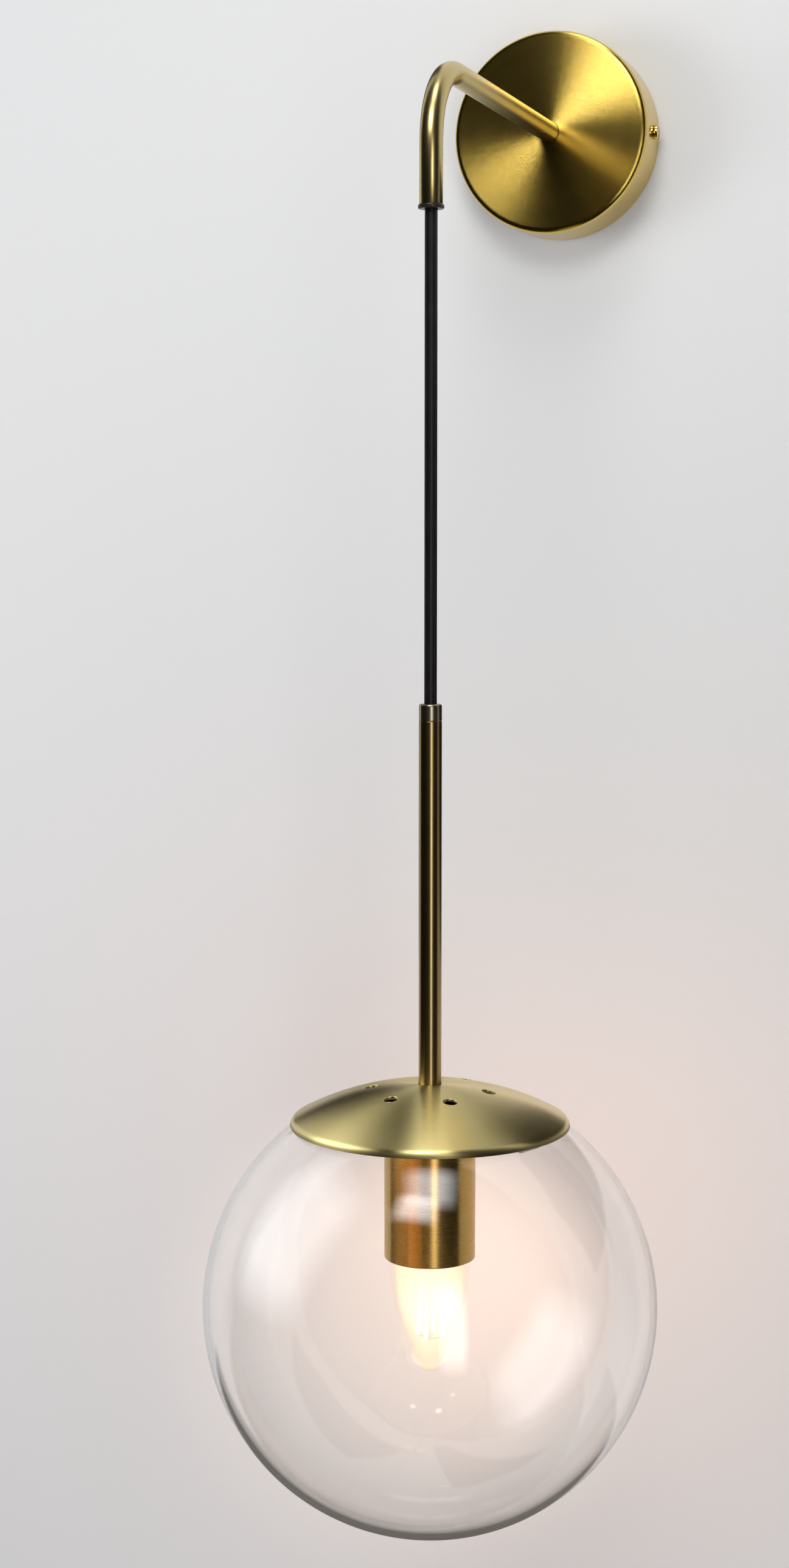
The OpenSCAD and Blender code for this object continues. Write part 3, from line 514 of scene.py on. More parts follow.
def dress(thing, material, node):
    """Gives a finished piece its material, and the body of the CAD node that it stands for."""
    paint(thing, material)
    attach(thing, BODY[node])
    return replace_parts(thing, node)


def arc(mid, radius, start, end, steps):
    """Points of an arc, with angles in radians."""
    return [(mid[0] + radius * math.cos(start + (end - start) * i / steps),
             mid[1] + radius * math.sin(start + (end - start) * i / steps)) for i in range(steps + 1)]


def to_axis(outline):
    """An outline whose points that all but touch the axis lie on it."""
    return [(r if r > TOUCHING else 0.0, h) for r, h in outline]


def rounded(corners):
    """Outline through (u, v, radius) corners with round bends and a guard point on each side of a bend."""
    steps = 6
    points = []
    count = len(corners)
    for i, (u, v, radius) in enumerate(corners):
        here = Vector((u, v))
        if radius == 0:
            points.append((u, v))
            continue
        before = Vector(corners[i - 1][:2]) - here
        after = Vector(corners[(i + 1) % count][:2]) - here
        half = before.angle(after) / 2
        reach = radius / math.tan(half)
        guard = min(reach * 1.25, (before.length + reach) / 2, (after.length + reach) / 2)
        mid = here + (before.normalized() + after.normalized()).normalized() * radius / math.sin(half)
        first = here + before.normalized() * reach - mid
        sweep = first.angle_signed(here + after.normalized() * reach - mid)
        points.append(tuple(here + before.normalized() * guard))
        for k in range(steps + 1):
            points.append(tuple(mid + Matrix.Rotation(-sweep * k / steps, 2) @ first))
        points.append(tuple(here + after.normalized() * guard))
    return points


def new_tree(name, inputs):
    """A geometry tree with a Geometry input and the named ones, as (name, socket kind, default)."""
    tree = bpy.data.node_groups.new(name, "GeometryNodeTree")
    tree.interface.new_socket("Geometry", in_out="INPUT", socket_type="NodeSocketGeometry")
    for label, kind, default in inputs:
        socket = tree.interface.new_socket(label, in_out="INPUT", socket_type=kind)
        if default is not None:
            socket.default_value = default
    tree.interface.new_socket("Geometry", in_out="OUTPUT", socket_type="NodeSocketGeometry")
    graph = Graph(tree)
    ends = tree.nodes.new("NodeGroupInput")
    return graph, {s.name: Wire(graph, s) for s in ends.outputs if s.name}


def end_tree(graph, geometry, material):
    """Ends a tree in Realize Instances and Set Material."""
    solid = graph.node("GeometryNodeRealizeInstances", None, {"Geometry": geometry})
    dressed = graph.node("GeometryNodeSetMaterial", None, {"Geometry": solid, "Material": material})
    out = graph.tree.nodes.new("NodeGroupOutput")
    graph.tree.links.new(dressed.socket, out.inputs["Geometry"])
    return graph.tree


def lathe_tree():
    """Spins an outline, drawn with its radius in X and its height in Z, round the Z axis."""
    graph, given = new_tree("Spin outline", [
        ("Steps", "NodeSocketInt", 96), ("Material", "NodeSocketMaterial", None)])
    outline = given["Geometry"]
    rows = graph.node("GeometryNodeAttributeDomainSize", {"component": "MESH"}, {"Geometry": outline})
    grid = graph.node("GeometryNodeMeshGrid", None, {
        "Size X": 1.0, "Size Y": 1.0, "Vertices X": given["Steps"] + 1, "Vertices Y": rows})
    index = graph.node("GeometryNodeInputIndex")
    column = graph.math("FLOOR", (index + 0.5) / rows)
    place = graph.node("GeometryNodeInputPosition")
    sample = graph.node("GeometryNodeSampleIndex", {"data_type": "FLOAT_VECTOR", "domain": "POINT"}, {
        "Geometry": outline, "Value": place, "Index": index - column * rows})
    reach, _, rise = graph.split(sample)
    angle = column / given["Steps"] * math.tau
    spun = graph.join(reach * graph.math("COSINE", angle), reach * graph.math("SINE", angle), rise)
    shell = graph.node("GeometryNodeSetPosition", None, {"Geometry": grid, "Position": spun})
    merged = graph.node("GeometryNodeMergeByDistance", None, {"Geometry": shell, "Distance": TOUCHING})
    return end_tree(graph, merged, given["Material"])


def ring_tree():
    """Repeats a piece round the Z axis."""
    graph, given = new_tree("Repeat round axis", [
        ("Count", "NodeSocketInt", 6), ("Phase", "NodeSocketFloat", 0.0),
        ("Material", "NodeSocketMaterial", None)])
    points = graph.node("GeometryNodeMeshLine", None, {"Count": given["Count"], "Offset": (0, 0, 0)})
    index = graph.node("GeometryNodeInputIndex")
    turn = graph.join(0.0, 0.0, given["Phase"] + index * math.tau / given["Count"])
    around = graph.node("FunctionNodeEulerToRotation", None, {"Euler": turn})
    placed = graph.node("GeometryNodeInstanceOnPoints", None, {
        "Points": points, "Instance": given["Geometry"], "Rotation": around})
    solid = graph.node("GeometryNodeRealizeInstances", None, {"Geometry": placed})
    merged = graph.node("GeometryNodeMergeByDistance", None, {"Geometry": solid, "Distance": TOUCHING})
    return end_tree(graph, merged, given["Material"])


def run_tree(thing, tree, **inputs):
    """Runs a geometry tree on an object and keeps the result as its plain mesh."""
    modifier = thing.modifiers.new(tree.name, "NODES")
    modifier.node_group = tree
    for item in tree.interface.items_tree:
        if item.item_type == "SOCKET" and item.in_out == "INPUT" and item.name in inputs:
            modifier[item.identifier] = inputs[item.name]
    graph = bpy.context.evaluated_depsgraph_get()
    made = bpy.data.meshes.new_from_object(thing.evaluated_get(graph))
    thing.modifiers.remove(modifier)
    thing.data = made
    return thing


TREES = {}


def shared(maker):
    """A geometry tree that is built once and used again."""
    if maker.__name__ not in TREES:
        TREES[maker.__name__] = maker()
    return TREES[maker.__name__]


def spin(name, outline, material, steps=96, closed=True, place=Matrix.Translation(AXIS)):
    """A piece spun round an axis from (radius, height) points."""
    def draw(body):
        ends = [body.verts.new((r, 0, h)) for r, h in outline]
        if closed:
            ends.append(body.verts.new((outline[0][0], 0, outline[0][1])))
        for a, b in zip(ends, ends[1:]):
            body.edges.new((a, b))
    thing = mesh_object(name, draw)
    run_tree(thing, shared(lathe_tree), Steps=steps, Material=material)
    return tidy(thing, place)


def repeat(thing, material, count, phase, foot):
    """Repeats a piece round the lamp's axis, with its lowest plane at a height."""
    run_tree(thing, shared(ring_tree), Count=count, Phase=phase, Material=material)
    return tidy(thing, Matrix.Translation(AXIS + Vector((0, 0, foot))))


def headings(route):
    """The direction of a route at each of its points."""
    last = len(route) - 1
    return [(route[min(i + 1, last)] - route[max(i - 1, 0)]).normalized() for i in range(last + 1)]


def tube(name, stations, sides, solid=False):
    """A tube in a plane across X, through stations of (middle, heading, radius); a solid one has ends."""
    across = Vector((1, 0, 0))

    def draw(body):
        rings = []
        for middle, heading, radius in stations:
            up = across.cross(heading)
            rings.append([body.verts.new(middle + radius * (
                math.cos(math.tau * k / sides) * across + math.sin(math.tau * k / sides) * up))
                for k in range(sides)])
        for a, b in zip(rings, rings[1:]):
            for k in range(sides):
                n = (k + 1) % sides
                body.faces.new((a[k], a[n], b[n], b[k]))
        if solid:
            body.faces.new(reversed(rings[0]))
            body.faces.new(rings[-1])

    return tidy(mesh_object(name, draw))


def pipe(name, route, outer, bore, ease, sides):
    """A hollow tube along a route, its ends eased."""
    ahead = headings(route)
    first, last = route[0], route[-1]
    start, end = ahead[0], ahead[-1]
    between = list(zip(route[1:-1], ahead[1:-1]))
    stations = [(first, start, outer - ease), (first + ease * start, start, outer)]
    stations += [(point, heading, outer) for point, heading in between]
    stations += [(last - ease * end, end, outer), (last, end, outer - ease), (last, end, bore)]
    stations += [(point, heading, bore) for point, heading in reversed(between)]
    stations += [(first, start, bore), (first, start, outer - ease)]
    return tube(name, stations, sides)


def drawn_cup(radius, hole, top, foot, wall, edge, hem, lip):
    """Outline of a cup pressed from sheet, open at its foot and with a hole in its top."""
    return rounded([
        (hole, top, lip), (radius, top, edge), (radius, foot, hem), (radius - wall, foot, hem),
        (radius - wall, top - wall, edge - wall), (hole, top - wall, lip)])


def crown_radius(height, reach, shoulder):
    """Radius of the crown's arc, so that it runs smoothly into a shoulder that ends upright at the rim."""
    # The arc's centre lies on the axis, (radius - shoulder) from the shoulder's centre at (reach, 0)
    return (reach ** 2 + height ** 2 - shoulder ** 2) / (2 * (height - shoulder))


def bulb_outline(sizes, top, foot, widest):
    """The envelope's outline: neck, shoulder, long side and rounded tip, each arc meeting the next."""
    belly = top - sizes.shoulder
    # The shoulder's arc ends upright at the widest place and passes the neck's foot
    rise, run = sizes.shoulder, widest - sizes.neck
    shoulder = (rise ** 2 + run ** 2) / (2 * run)
    points = [(0.0, top), (sizes.neck * 0.6, top)]
    sweep = math.asin(rise / shoulder)
    points += arc((widest - shoulder, belly), shoulder, sweep, 0, 16)
    # The side's arc also starts upright there and touches the tip's circle from outside
    tip = foot + sizes.tip
    fall = belly - tip
    gap = widest - sizes.tip
    side = (fall ** 2 + gap ** 2) / (2 * gap)
    turn = math.asin(fall / (side - sizes.tip))
    side_points = arc((widest - side, belly), side, 0, -turn, 40)[1:]
    tip_points = arc((0, tip), sizes.tip, -turn, -math.pi / 2, 14)[1:]
    return to_axis(points + side_points + tip_points)


def ease_edges(thing, width, degrees):
    """Rounds the edges that are sharper than an angle."""
    bevel = thing.modifiers.new("Eased edges", "BEVEL")
    bevel.width = width
    bevel.segments = 2
    bevel.limit_method = "ANGLE"
    bevel.angle_limit = math.radians(degrees)
    bevel.harden_normals = True


def eased(node, name, material, width=0.25 * MM):
    """A CAD node's own shape with its flat faces whole and its sharp edges rounded."""
    body = bmesh.new()
    body.from_mesh(frame["nodes"][node].data)
    bmesh.ops.remove_doubles(body, verts=body.verts, dist=2 * TOUCHING)
    bmesh.ops.dissolve_limit(body, angle_limit=math.radians(0.6), verts=body.verts, edges=body.edges)
    for face in body.faces:
        face.smooth = True
    mesh = bpy.data.meshes.new(name)
    body.to_mesh(mesh)
    body.free()
    thing = in_scene(name, mesh)
    ease_edges(thing, width, 32)
    return dress(thing, material, node)


def dome_sector(sizes, crown):
    """One vent and the part of the dome's skin round it, pointing along X, with the rim at height 0."""
    reach = sizes.radius - sizes.shoulder
    turn = math.asin(reach / (crown - sizes.shoulder))
    patch = 6 * MM
    inner, outer = sizes.vent_ring - patch, sizes.vent_ring + patch
    half = math.pi / sizes.vents
    side = math.radians(13)
    across, beside = 10, 5
    left = [-half + (half - side) * i / beside for i in range(beside + 1)]
    middle = [-side + 2 * side * i / across for i in range(across + 1)]
    right = [-angle for angle in reversed(left)]

    def on_crown(x, y):
        return x, y, sizes.height - crown + math.sqrt(crown ** 2 - x * x - y * y)

    def polar(radius, angle):
        return on_crown(radius * math.cos(angle), radius * math.sin(angle))

    def grid(body, rows, columns, point):
        made = [[body.verts.new(point(row, column)) for column in columns] for row in rows]
        for a, b in zip(made, made[1:]):
            for i in range(len(columns) - 1):
                body.faces.new((a[i], a[i + 1], b[i + 1], b[i]))

    def draw(body):
        whole = left + middle[1:] + right[1:]
        grid(body, [HUB_HOLE + (inner - HUB_HOLE) * i / 10 for i in range(11)], whole, polar)
        band = [inner + (outer - inner) * i / across for i in range(across + 1)]
        grid(body, band, left, polar)
        grid(body, band, right, polar)
        edge = [(inner, angle) for angle in middle[:-1]] + [(radius, side) for radius in band[:-1]]
        edge += [(outer, -angle) for angle in middle[:-1]]
        edge += [(radius, -side) for radius in reversed(band)]
        square = [Vector((radius * math.cos(angle), radius * math.sin(angle))) for radius, angle in edge]
        heart = Vector((sizes.vent_ring, 0))
        hole = [heart + sizes.vent_radius * (p - heart).normalized() for p in square]
        grid(body, [(k / 6) ** 0.8 for k in range(7)], range(len(square)),
             lambda share, i: on_crown(*square[i].lerp(hole[i], share)))
        skirt = arc((0, sizes.height - crown), crown, math.pi / 2 - math.asin(outer / crown),
                    math.pi / 2 - turn, 14)
        skirt += arc((reach, 0), sizes.shoulder, math.pi / 2 - turn, 0, 14)[1:]
        grid(body, skirt, whole, lambda p, angle: (p[0] * math.cos(angle), p[0] * math.sin(angle), p[1]))

    return mesh_object("dome_cap_sheet", draw)


def reflected_cloth(name, colour):
    """Cloth that only a reflection in metal or glass shows; looking straight through glass shows the air."""
    cloth, coat = painted(name, colour)
    bounced = cloth.math("GREATER_THAN", cloth.node("ShaderNodeLightPath", output="Glossy Depth"), 0.5)
    clear = cloth.node("ShaderNodeBsdfTransparent")
    return cloth.close(cloth.node("ShaderNodeMixShader", None, {0: bounced, 1: clear, 2: coat}))


def fade_out(light):
    """Lets a softbox grow dark towards its edges, so that glass shows it with soft edges."""
    rise = 3.5  # full light starts at 1 / rise of the way in
    level = 1.95  # makes up for the dark edges
    light.use_nodes = True
    graph = Graph(light.node_tree)
    across, up, _ = graph.split(graph.node("ShaderNodeNewGeometry", output="Parametric"))
    sides = [graph.math("MINIMUM", way, 1.0 - way) for way in (across, up)]
    share = graph.clamp(sides[0] * rise) * graph.clamp(sides[1] * rise)
    emission = light.node_tree.nodes["Emission"]
    light.node_tree.links.new((share * level).socket, emission.inputs["Strength"])


class LAMP_OT_stage(bpy.types.Operator):
    """Sets the wall, the floor, the cloth and the lights"""

    bl_idname = "lamp.stage"
    bl_label = "Stage and lights"

    def execute(self, context):
        scene = context.scene
        scene.view_settings.view_transform = "Standard"
        world = bpy.data.worlds.new("Studio air")
        world.use_nodes = True
        air = world.node_tree.nodes["Background"]
        air.inputs["Color"].default_value = (0.93, 0.95, 1.0, 1)
        air.inputs["Strength"].default_value = 0.28
        scene.world = world

        plain, coat = painted("Wall paint", (0.86, 0.865, 0.87))
        behind = plain.node("ShaderNodeNewGeometry", output="Backfacing")
        clear = plain.node("ShaderNodeBsdfTransparent")
        wall_paint = plain.close(plain.node("ShaderNodeMixShader", None, {0: behind, 1: coat, 2: clear}))
        plain, coat = painted("Floor paint", (0.84, 0.84, 0.84))
        floor_paint = plain.close(coat)
        black = reflected_cloth("Black cloth", (0.02, 0.018, 0.016))
        grey = reflected_cloth("Grey cloth", (0.30, 0.29, 0.27))

        def stand(name, build, material):
            thing = mesh_object(name, build)
            paint(thing, material)
            return thing

        def upright(x0, x1, z0, z1, y):
            corners = [(x0, y, z0), (x1, y, z0), (x1, y, z1), (x0, y, z1)]
            return lambda body: body.faces.new([body.verts.new(c) for c in corners])

        stand("studio_wall", upright(-ROOM, ROOM, FLOOR, 3, WALL_GAP), wall_paint)
        stand("studio_floor", lambda body: body.faces.new([body.verts.new((x, y, FLOOR)) for x, y in (
            (-ROOM, -5), (ROOM, -5), (ROOM, ROOM), (-ROOM, ROOM))]), floor_paint)
        near, far, foot, top = 0.02, 2.6, -1.05, 2.6

        def tent(body):
            rows = [[body.verts.new((reach * math.sin(t), -reach * math.cos(t), height))
                     for t in [math.radians(a) for a in range(-90, 91, 10)]]
                    for reach, height in ((near, foot), (far, foot), (far, top), (near, top))]
            for a, b in zip(rows, rows[1:]):
                for i in range(len(a) - 1):
                    body.faces.new((a[i], a[i + 1], b[i + 1], b[i]))

        cloths = [stand("black_cloth_tent", tent, black)]
        for name, material, *sides in (
                ("black_cloth_left", black, -0.24, -0.09, -0.42, 0.55),
                ("black_cloth_right", black, 0.03, 0.60, -0.42, -0.07),
                ("grey_cloth_low", grey, -0.50, 0.50, -1.04, -0.73)):
            cloths.append(stand(name, upright(*sides, -near), material))
        for cloth in cloths:
            cloth.visible_camera = False
            cloth.visible_diffuse = False
            cloth.visible_shadow = False

        def linked(name, pieces):
            group = bpy.data.collections.new(name)
            for piece in pieces:
                group.objects.link(bpy.data.objects[piece])
            return group

        def lamp(light, place, aim):
            thing = in_scene(light.name, light)
            thing.location = place
            thing.rotation_euler = (Vector(aim) - Vector(place)).to_track_quat("-Z", "Y").to_euler()
            thing.visible_camera = False
            return thing

        def softbox(name, place, aim, width, height, level, colour=(1, 1, 1), only=()):
            light = bpy.data.lights.new(name, "AREA")
            light.shape = "RECTANGLE"
            light.size, light.size_y = width, height
            light.energy = level * math.pi * width * height
            light.color = colour
            fade_out(light)
            box = lamp(light, place, aim)
            if only:
                box.light_linking.receiver_collection = linked(name, only)

        softbox("key_softbox", (0.045, -0.656, 0.310), (0, -0.03, 0), 0.38, 0.34, 3.9, (1.0, 0.98, 0.95))
        softbox("strip_softbox", (0.80, -1.60, -0.35), (0, -0.21, -0.35), 0.45, 1.4, 2.2, (1.0, 0.97, 0.92))
        softbox("window_softbox", (-0.62, -0.45, -0.15), (0, -0.21, -0.45), 0.85, 1.05, 1.5,
                (0.95, 0.98, 1.0), ("glass_globe_blown", "dome_cap_sheet"))
        softbox("warm_card", (-0.20, -0.497, -0.635), (0, -0.21, -0.50), 0.60, 0.22, 6.0, (1.0, 0.55, 0.28),
                ("socket_cup_spun",))
        softbox("overhead_softbox", (0.25, -0.95, 2.4), (0, -0.1, -0.3), 1.4, 1.4, 2.9)
        softbox("wall_wash_softbox", (-1.1, -0.75, -0.12), (-0.1, 0, -0.15), 0.7, 0.8, 2.8, (0.98, 0.99, 1.0),
                ("studio_wall",))

        # The pool of warm light lies on the wall behind the globe, as the camera sees it
        def bulb_lamp(name, kind, colour, energy, size, blockers):
            light = bpy.data.lights.new(name, kind)
            light.color = colour
            light.energy = energy
            light.shadow_soft_size = size
            glow = lamp(light, AXIS + Vector((0, 0, centre("bulb_glass").z)), (-0.07, 0, -0.607))
            glow.visible_glossy = False
            glow.visible_transmission = False
            glow.light_linking.blocker_collection = linked(name, blockers)
            return glow

        pool = bulb_lamp("bulb_pool", "SPOT", (1.0, 0.68, 0.50), 1.15, 0.01, ["studio_wall"])
        pool.data.spot_size = math.radians(62)
        pool.data.spot_blend = 1.0
        pool.light_linking.receiver_collection = linked("bulb_pool_wall", ["studio_wall"])
        bulb_lamp("bulb_light", "POINT", (1.0, 0.40, 0.14), 0.42, 0.016,
                  ["dome_cap_sheet", "socket_cup_spun", "rod_tube_turned"])
        return {"FINISHED"}


class LAMP_OT_camera(bpy.types.Operator):
    """Stands the camera where the lamp is seen from a little to the right and above the globe"""

    bl_idname = "lamp.camera"
    bl_label = "Camera"

    def execute(self, context):
        view = bpy.data.cameras.new("camera")
        view.sensor_width = 36
        view.lens = 54.60
        eye = in_scene("camera", view)
        eye.location = (0.3254, -1.1808, -0.2096)
        aim = Vector((-0.0552, -0.100, -0.3177)) - eye.location
        eye.rotation_euler = aim.to_track_quat("-Z", "Y").to_euler()
        context.scene.camera = eye
        return {"FINISHED"}


class LAMP_OT_cord(bpy.types.Operator):
    """Hangs the black cord between the arm's end and the grip"""

    bl_idname = "lamp.cord"
    bl_label = "Cord"

    def execute(self, context):
        sizes = context.scene.lamp_cord
        radius = span("cord").x / 2
        length = CORD_TOP - CORD_FOOT
        route = [AXIS + Vector((0, 0, CORD_TOP - length * i / sizes.rings)) for i in range(sizes.rings + 1)]
        # Both ends are rounded, and hidden in the bush and in the grip
        turns = [math.radians(a) for a in (88, 75, 60, 45, 30, 15)]
        rises = [Vector((0, 0, radius * math.sin(t))) for t in turns]
        reaches = [radius * math.cos(t) for t in turns]
        path = [route[0] + rise for rise in rises] + route + [route[-1] - rise for rise in reversed(rises)]
        radii = reaches + [radius] * len(route) + reaches[::-1]
        cord = tube("cord_black", list(zip(path, headings(path), radii)), sizes.sides, solid=True)
        dress(cord, cord_sheath("Cord sheath", sizes.colour), "cord")
        return {"FINISHED"}


class LAMP_OT_canopy(bpy.types.Operator):
    """Spins the wall canopy and fits its two side screws"""

    bl_idname = "lamp.canopy"
    bl_label = "Wall canopy"

    def execute(self, context):
        sizes = context.scene.lamp_canopy
        radius = span("canopy").x / 2
        depth = -low("canopy").y
        hole = span("arm_tube").x / 2 + SLIP
        outline = drawn_cup(radius, hole, depth, 0, sizes.wall, sizes.edge, sizes.hem, 0.25 * MM)
        brass = spun_brass("Spun brass", sizes)
        out = Matrix.Rotation(math.radians(90), 4, "X")
        dress(spin("canopy_spun", outline, brass, sizes.steps, place=out), brass, "canopy")
        polished = drawn_brass("Polished brass", (0.80, 0.60, 0.24), roughness=0.16)
        eased("canopy_screws", "canopy_side_screws", polished, 0.3 * MM)
        return {"FINISHED"}


class LAMP_OT_arm(bpy.types.Operator):
    """Bends the arm tube and seats the bush in its end"""

    bl_idname = "lamp.arm"
    bl_label = "Arm"

    def execute(self, context):
        sizes = context.scene.lamp_arm
        radius = span("arm_tube").x / 2
        bend = sizes.bend
        turn = Vector((0, AXIS.y + bend, -bend))
        run = [Vector((0, y, 0)) for y in (high("arm_tube").y, -0.03, -0.1)]
        run += [turn + bend * Vector((0, -math.sin(t), math.cos(t))) for t in
                [math.radians(90) * i / 40 for i in range(41)]]
        run += [AXIS + Vector((0, 0, low("arm_tube").z))]
        arm = pipe("arm_tube_bent", run, radius, radius - sizes.wall, sizes.ease, 96)
        dress(arm, drawn_brass("Satin brass", sizes.colour, roughness=0.28), "arm_tube")
        bush = "arm_end_bush"
        top, foot = high(bush).z, low(bush).z
        lip = span(bush).x / 2
        bore = span("cord").x / 2 + 0.15 * MM
        shank = radius - sizes.wall - 2 * SLIP
        outline = rounded([
            (bore, top, 0), (shank, top, 0), (shank, foot + sizes.lip, 0),
            (lip, foot + sizes.lip, 0.4 * MM), (lip, foot, 0.6 * MM), (bore, foot, 0.3 * MM)])
        dark = moulded("Dark bush", sizes.bush_colour, roughness=0.3)
        dress(spin("arm_end_bush_turned", outline, dark), dark, bush)
        return {"FINISHED"}


class LAMP_OT_rod(bpy.types.Operator):
    """Turns the rod and the cord grip on its top"""

    bl_idname = "lamp.rod"
    bl_label = "Rod and grip"

    def execute(self, context):
        sizes = context.scene.lamp_rod
        radius = span("rod_tube").x / 2
        bore = radius - sizes.wall
        rod = turned_brass("Antique brass", sizes.colour, roughness=0.3, patina=0.2, streak=0.5)
        ease = sizes.chamfer
        outline = rounded([(bore, ROD_FOOT, 0), (radius, ROD_FOOT, ease), (radius, GRIP_FOOT, ease),
                           (bore, GRIP_FOOT, 0)])
        dress(spin("rod_tube_turned", outline, rod), rod, "rod_tube")
        top = high("cord_grip").z
        mouth = span("cord").x / 2 + 0.25 * MM
        grip = turned_brass("Grip brass", sizes.grip_colour, roughness=0.32, patina=0.2, streak=0.4)
        spigot = low("cord_grip").z
        seat = GRIP_FOOT + 0.02 * MM
        outline = rounded([
            (mouth, spigot, 0), (bore - SLIP, spigot, 0), (bore - SLIP, seat, 0),
            (radius, seat, ease), (radius, top, 1.0 * MM), (mouth, top, 0.3 * MM)])
        dress(spin("cord_grip_turned", outline, grip), grip, "cord_grip")
        dark = drawn_brass("Blackened screw", (0.05, 0.05, 0.05), roughness=0.4)
        eased("cord_grip_screw", "cord_grip_grub_screw", dark, 0.12 * MM)
        return {"FINISHED"}


class LAMP_OT_dome(bpy.types.Operator):
    """Presses the vented dome cap and seats the ring and nuts under it"""

    bl_idname = "lamp.dome"
    bl_label = "Dome cap"

    def execute(self, context):
        sizes = context.scene.lamp_dome
        reach = sizes.radius - sizes.shoulder
        crown = crown_radius(sizes.height, reach, sizes.shoulder)
        # Below RIM + 2.2 mm the dome's brass is painted dark: a painted dark reflection along its rim
        brass = turned_brass("Pale brushed brass", sizes.colour, roughness=0.31, patina=0.1,
                             streak=0.9, depth=0.3, hem=RIM + 2.2 * MM)
        skin = repeat(dome_sector(sizes, crown), brass, sizes.vents, sizes.phase, RIM)
        if sum(face.normal.z * face.area for face in skin.data.polygons) < 0:
            raise RuntimeError("the dome's skin faces inwards")
        sheet = skin.modifiers.new("Sheet", "SOLIDIFY")
        sheet.thickness = sizes.wall
        sheet.offset = -1
        sheet.use_even_offset = True
        ease_edges(skin, 0.25 * MM, 40)
        dress(skin, brass, "dome_cap")
        rubber = moulded("Grey silicone", (0.10, 0.09, 0.075), roughness=0.6)
        eased("seat_ring", "seat_ring_moulded", rubber, 0.4 * MM)
        polished = drawn_brass("Nut brass", (0.74, 0.56, 0.24), roughness=0.22)
        eased("dome_nut", "dome_nut_eased", polished, 0.35 * MM)
        eased("clip_nut", "clip_nut_eased", polished, 0.35 * MM)
        return {"FINISHED"}


class LAMP_OT_clip(bpy.types.Operator):
    """Eases the edges of the spring clip that carries the globe, and of its soft sleeves"""

    bl_idname = "lamp.clip"
    bl_label = "Spring clip"

    def execute(self, context):
        steel = plated_steel("Spring steel", (0.50, 0.49, 0.47), roughness=0.3)
        eased("glass_clip", "glass_clip_folded", steel, 0.2 * MM)
        milky = moulded("Milky silicone", (0.62, 0.61, 0.58), roughness=0.4)
        eased("clip_sleeves", "clip_sleeves_moulded", milky, 0.3 * MM)
        return {"FINISHED"}


class LAMP_OT_cup(bpy.types.Operator):
    """Spins the socket cup round the lampholder"""

    bl_idname = "lamp.cup"
    bl_label = "Socket cup"

    def execute(self, context):
        sizes = context.scene.lamp_cup
        radius = span("socket_cup").x / 2
        top = high("socket_cup").z
        outline = drawn_cup(radius, HUB_HOLE, top, CUP_FOOT, sizes.wall, sizes.edge, 0.4 * MM, 0.2 * MM)
        brass = turned_brass("Cup brass", sizes.colour, roughness=0.27, patina=0.15, streak=0.6,
                             depth=0.15)
        dress(spin("socket_cup_spun", outline, brass, 128), brass, "socket_cup")
        return {"FINISHED"}


class LAMP_OT_globe(bpy.types.Operator):
    """Blows the clear glass globe with its fire-rounded mouth"""

    bl_idname = "lamp.globe"
    bl_label = "Glass globe"

    def execute(self, context):
        sizes = context.scene.lamp_globe
        middle = low("glass_globe").z + sizes.radius
        opening = math.pi / 2 - math.asin(sizes.mouth / sizes.radius)
        lip = sizes.radius - sizes.wall / 2
        tip = (lip * math.cos(opening), middle + lip * math.sin(opening))
        outline = arc((0, middle), sizes.radius, -math.pi / 2, opening, 96)
        outline += arc(tip, sizes.wall / 2, opening, opening + math.pi, 8)[1:-1]
        outline += arc((0, middle), sizes.radius - sizes.wall, opening, -math.pi / 2, 96)
        glass = clear_glass("Clear blown glass", sizes.tint, sizes.edge, middle, sizes.radius)
        dress(spin("glass_globe_blown", to_axis(outline), glass, 192, closed=False), glass, "glass_globe")
        return {"FINISHED"}


class LAMP_OT_bulb(bpy.types.Operator):
    """Blows the bulb's envelope and lights it"""

    bl_idname = "lamp.bulb"
    bl_label = "Bulb"

    def execute(self, context):
        sizes = context.scene.lamp_bulb
        node = "bulb_glass"
        top, foot = high(node).z, low(node).z
        widest = span(node).x / 2
        outline = bulb_outline(sizes, top, foot, widest)
        lit = lit_bulb("Lit bulb glass", sizes, top, foot)
        dress(spin("bulb_glass_blown", outline, lit, 96, closed=False), lit, node)
        metal = plated_steel("Rolled aluminium", (0.76, 0.76, 0.76), roughness=0.3)
        eased("bulb_cap", "bulb_cap_rolled", metal, 0.2 * MM)
        eased("bulb_contact", "bulb_contact_pin", metal, 0.2 * MM)
        dark = moulded("Bulb insulator", (0.02, 0.02, 0.02), roughness=0.25)
        eased("bulb_insulator", "bulb_insulator_glazed", dark, 0.2 * MM)
        return {"FINISHED"}


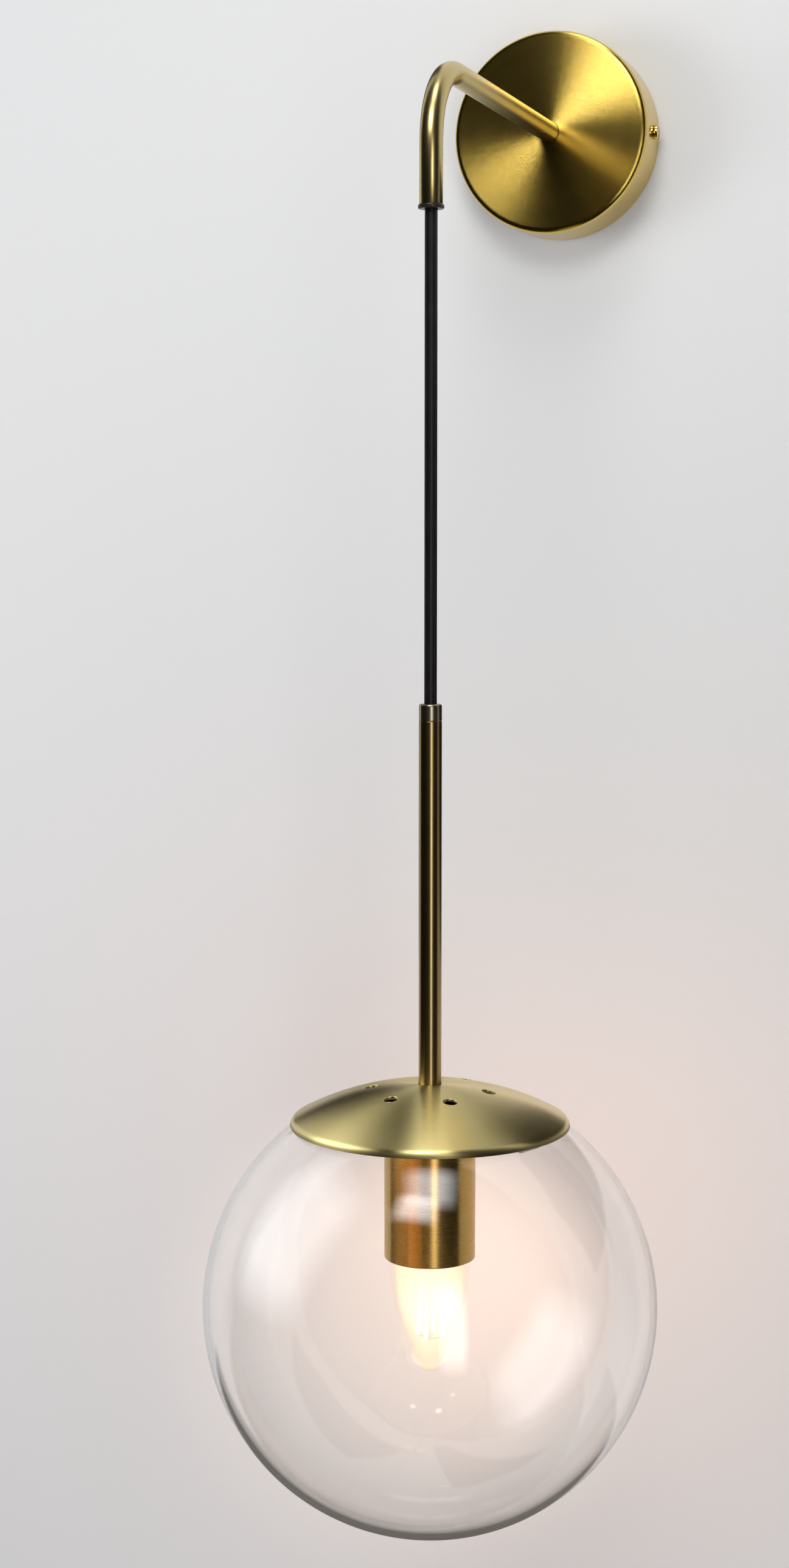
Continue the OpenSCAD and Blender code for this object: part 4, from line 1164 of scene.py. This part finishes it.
class LAMP_OT_holder(bpy.types.Operator):
    """Eases the lampholder's edges inside the cup"""

    bl_idname = "lamp.holder"
    bl_label = "Lampholder"

    def execute(self, context):
        black = moulded("Black moulding", (0.02, 0.02, 0.02), roughness=0.28)
        china = moulded("Glazed porcelain", (0.84, 0.82, 0.77), roughness=0.18, coat=0.4)
        steel = plated_steel("Thread plate", (0.60, 0.58, 0.52), roughness=0.26)
        contact = drawn_brass("Contact brass", (0.72, 0.54, 0.24), roughness=0.3)
        eased("holder_cap", "holder_cap_moulded", black)
        eased("holder_sleeve", "holder_sleeve_moulded", black)
        eased("holder_insert", "holder_insert_glazed", china)
        eased("holder_shell", "holder_shell_rolled", steel, 0.1 * MM)
        eased("holder_contact", "holder_contact_bent", contact, 0.1 * MM)
        eased("holder_terminals", "holder_terminals_pressed", contact, 0.15 * MM)
        eased("holder_terminal_screws", "holder_terminal_screws_turned", steel, 0.12 * MM)
        return {"FINISHED"}


class LAMP_OT_wall_parts(bpy.types.Operator):
    """Finishes the bracket, the wiring and the fixings behind the canopy"""

    bl_idname = "lamp.wall_parts"
    bl_label = "Parts behind the canopy"

    def execute(self, context):
        zinc = plated_steel("Zinc plate")
        white = moulded("White moulding", (0.80, 0.80, 0.76), roughness=0.4)
        brass = drawn_brass("Fixing brass", (0.74, 0.56, 0.24), roughness=0.25)
        for node, name, material, width in (
                ("wall_bracket", "wall_bracket_pressed", zinc, 0.25 * MM),
                ("arm_backing_plate", "arm_backing_plate_pressed", zinc, 0.2 * MM),
                ("arm_washer", "arm_washer_pressed", zinc, 0.15 * MM),
                ("arm_nut", "arm_nut_turned", brass, 0.35 * MM),
                ("cord_anchor", "cord_anchor_moulded", white, 0.3 * MM),
                ("cord_anchor_screw", "cord_anchor_screw_turned", zinc, 0.15 * MM),
                ("terminal_block", "terminal_block_moulded", white, 0.3 * MM),
                ("terminal_sleeves", "terminal_sleeves_turned", brass, 0.1 * MM),
                ("terminal_screws", "terminal_screws_turned", zinc, 0.12 * MM),
                ("terminal_fixing_screw", "terminal_fixing_screw_turned", zinc, 0.15 * MM),
                ("earth_ring", "earth_ring_pressed", zinc, 0.12 * MM),
                ("earth_screw", "earth_screw_turned", zinc, 0.2 * MM)):
            eased(node, name, material, width)
        black = cord_sheath("Inner cord sheath", (0.012, 0.012, 0.013))
        sleeves = {
            "cord_in_arm": black, "cord_in_rod": black,
            "live_lead": cord_sheath("Brown sleeve", (0.14, 0.05, 0.02)),
            "holder_leads": cord_sheath("Holder lead sleeve", (0.14, 0.05, 0.02)),
            "neutral_lead": cord_sheath("Blue sleeve", (0.02, 0.09, 0.42)),
            "earth_lead": cord_sheath("Green sleeve", (0.10, 0.32, 0.03)),
            "earth_link": cord_sheath("Green link sleeve", (0.10, 0.32, 0.03)),
            "bulb_stem": moulded("Bulb stem glass", (0.8, 0.78, 0.7), roughness=0.1),
            "bulb_supports": zinc,
        }
        filament = Finish("Glowing filament")
        grain = filament.noise(filament.place, 500.0, 2.0)
        sleeves["bulb_filaments"] = filament.close(filament.surface(
            Base_Color=(1.0, 0.75, 0.35), Roughness=0.6, Emission_Strength=4.0,
            Emission_Color=filament.blend(grain, (1.0, 0.68, 0.28), (1.0, 0.78, 0.4))))
        for node, material in sleeves.items():
            paint(frame["nodes"][node], material)
        return {"FINISHED"}


class LAMP_PT_panel(bpy.types.Panel):
    """Lists the lamp's pieces in the sidebar"""

    bl_idname = "LAMP_PT_panel"
    bl_label = "Globe wall lamp"
    bl_space_type = "VIEW_3D"
    bl_region_type = "UI"
    bl_category = "Lamp"

    def draw(self, context):
        for step in STEPS:
            self.layout.operator(step.bl_idname)


# In the order in which main calls them: the camera and the cord come first
STEPS = (
    LAMP_OT_camera, LAMP_OT_cord, LAMP_OT_canopy, LAMP_OT_arm, LAMP_OT_rod, LAMP_OT_dome, LAMP_OT_clip,
    LAMP_OT_cup, LAMP_OT_globe, LAMP_OT_bulb, LAMP_OT_holder, LAMP_OT_wall_parts, LAMP_OT_stage,
)


def register():
    for name, group in GROUPS.items():
        bpy.utils.register_class(group)
        setattr(bpy.types.Scene, name, bpy.props.PointerProperty(type=group))
    for step in STEPS + (LAMP_PT_panel,):
        bpy.utils.register_class(step)


def unregister():
    for step in STEPS + (LAMP_PT_panel,):
        bpy.utils.unregister_class(step)
    for name, group in GROUPS.items():
        delattr(bpy.types.Scene, name)
        bpy.utils.unregister_class(group)


def main():
    register()
    for step in STEPS:
        area, action = step.bl_idname.split(".")
        getattr(getattr(bpy.ops, area), action)()


if __name__ == "__main__":
    main()
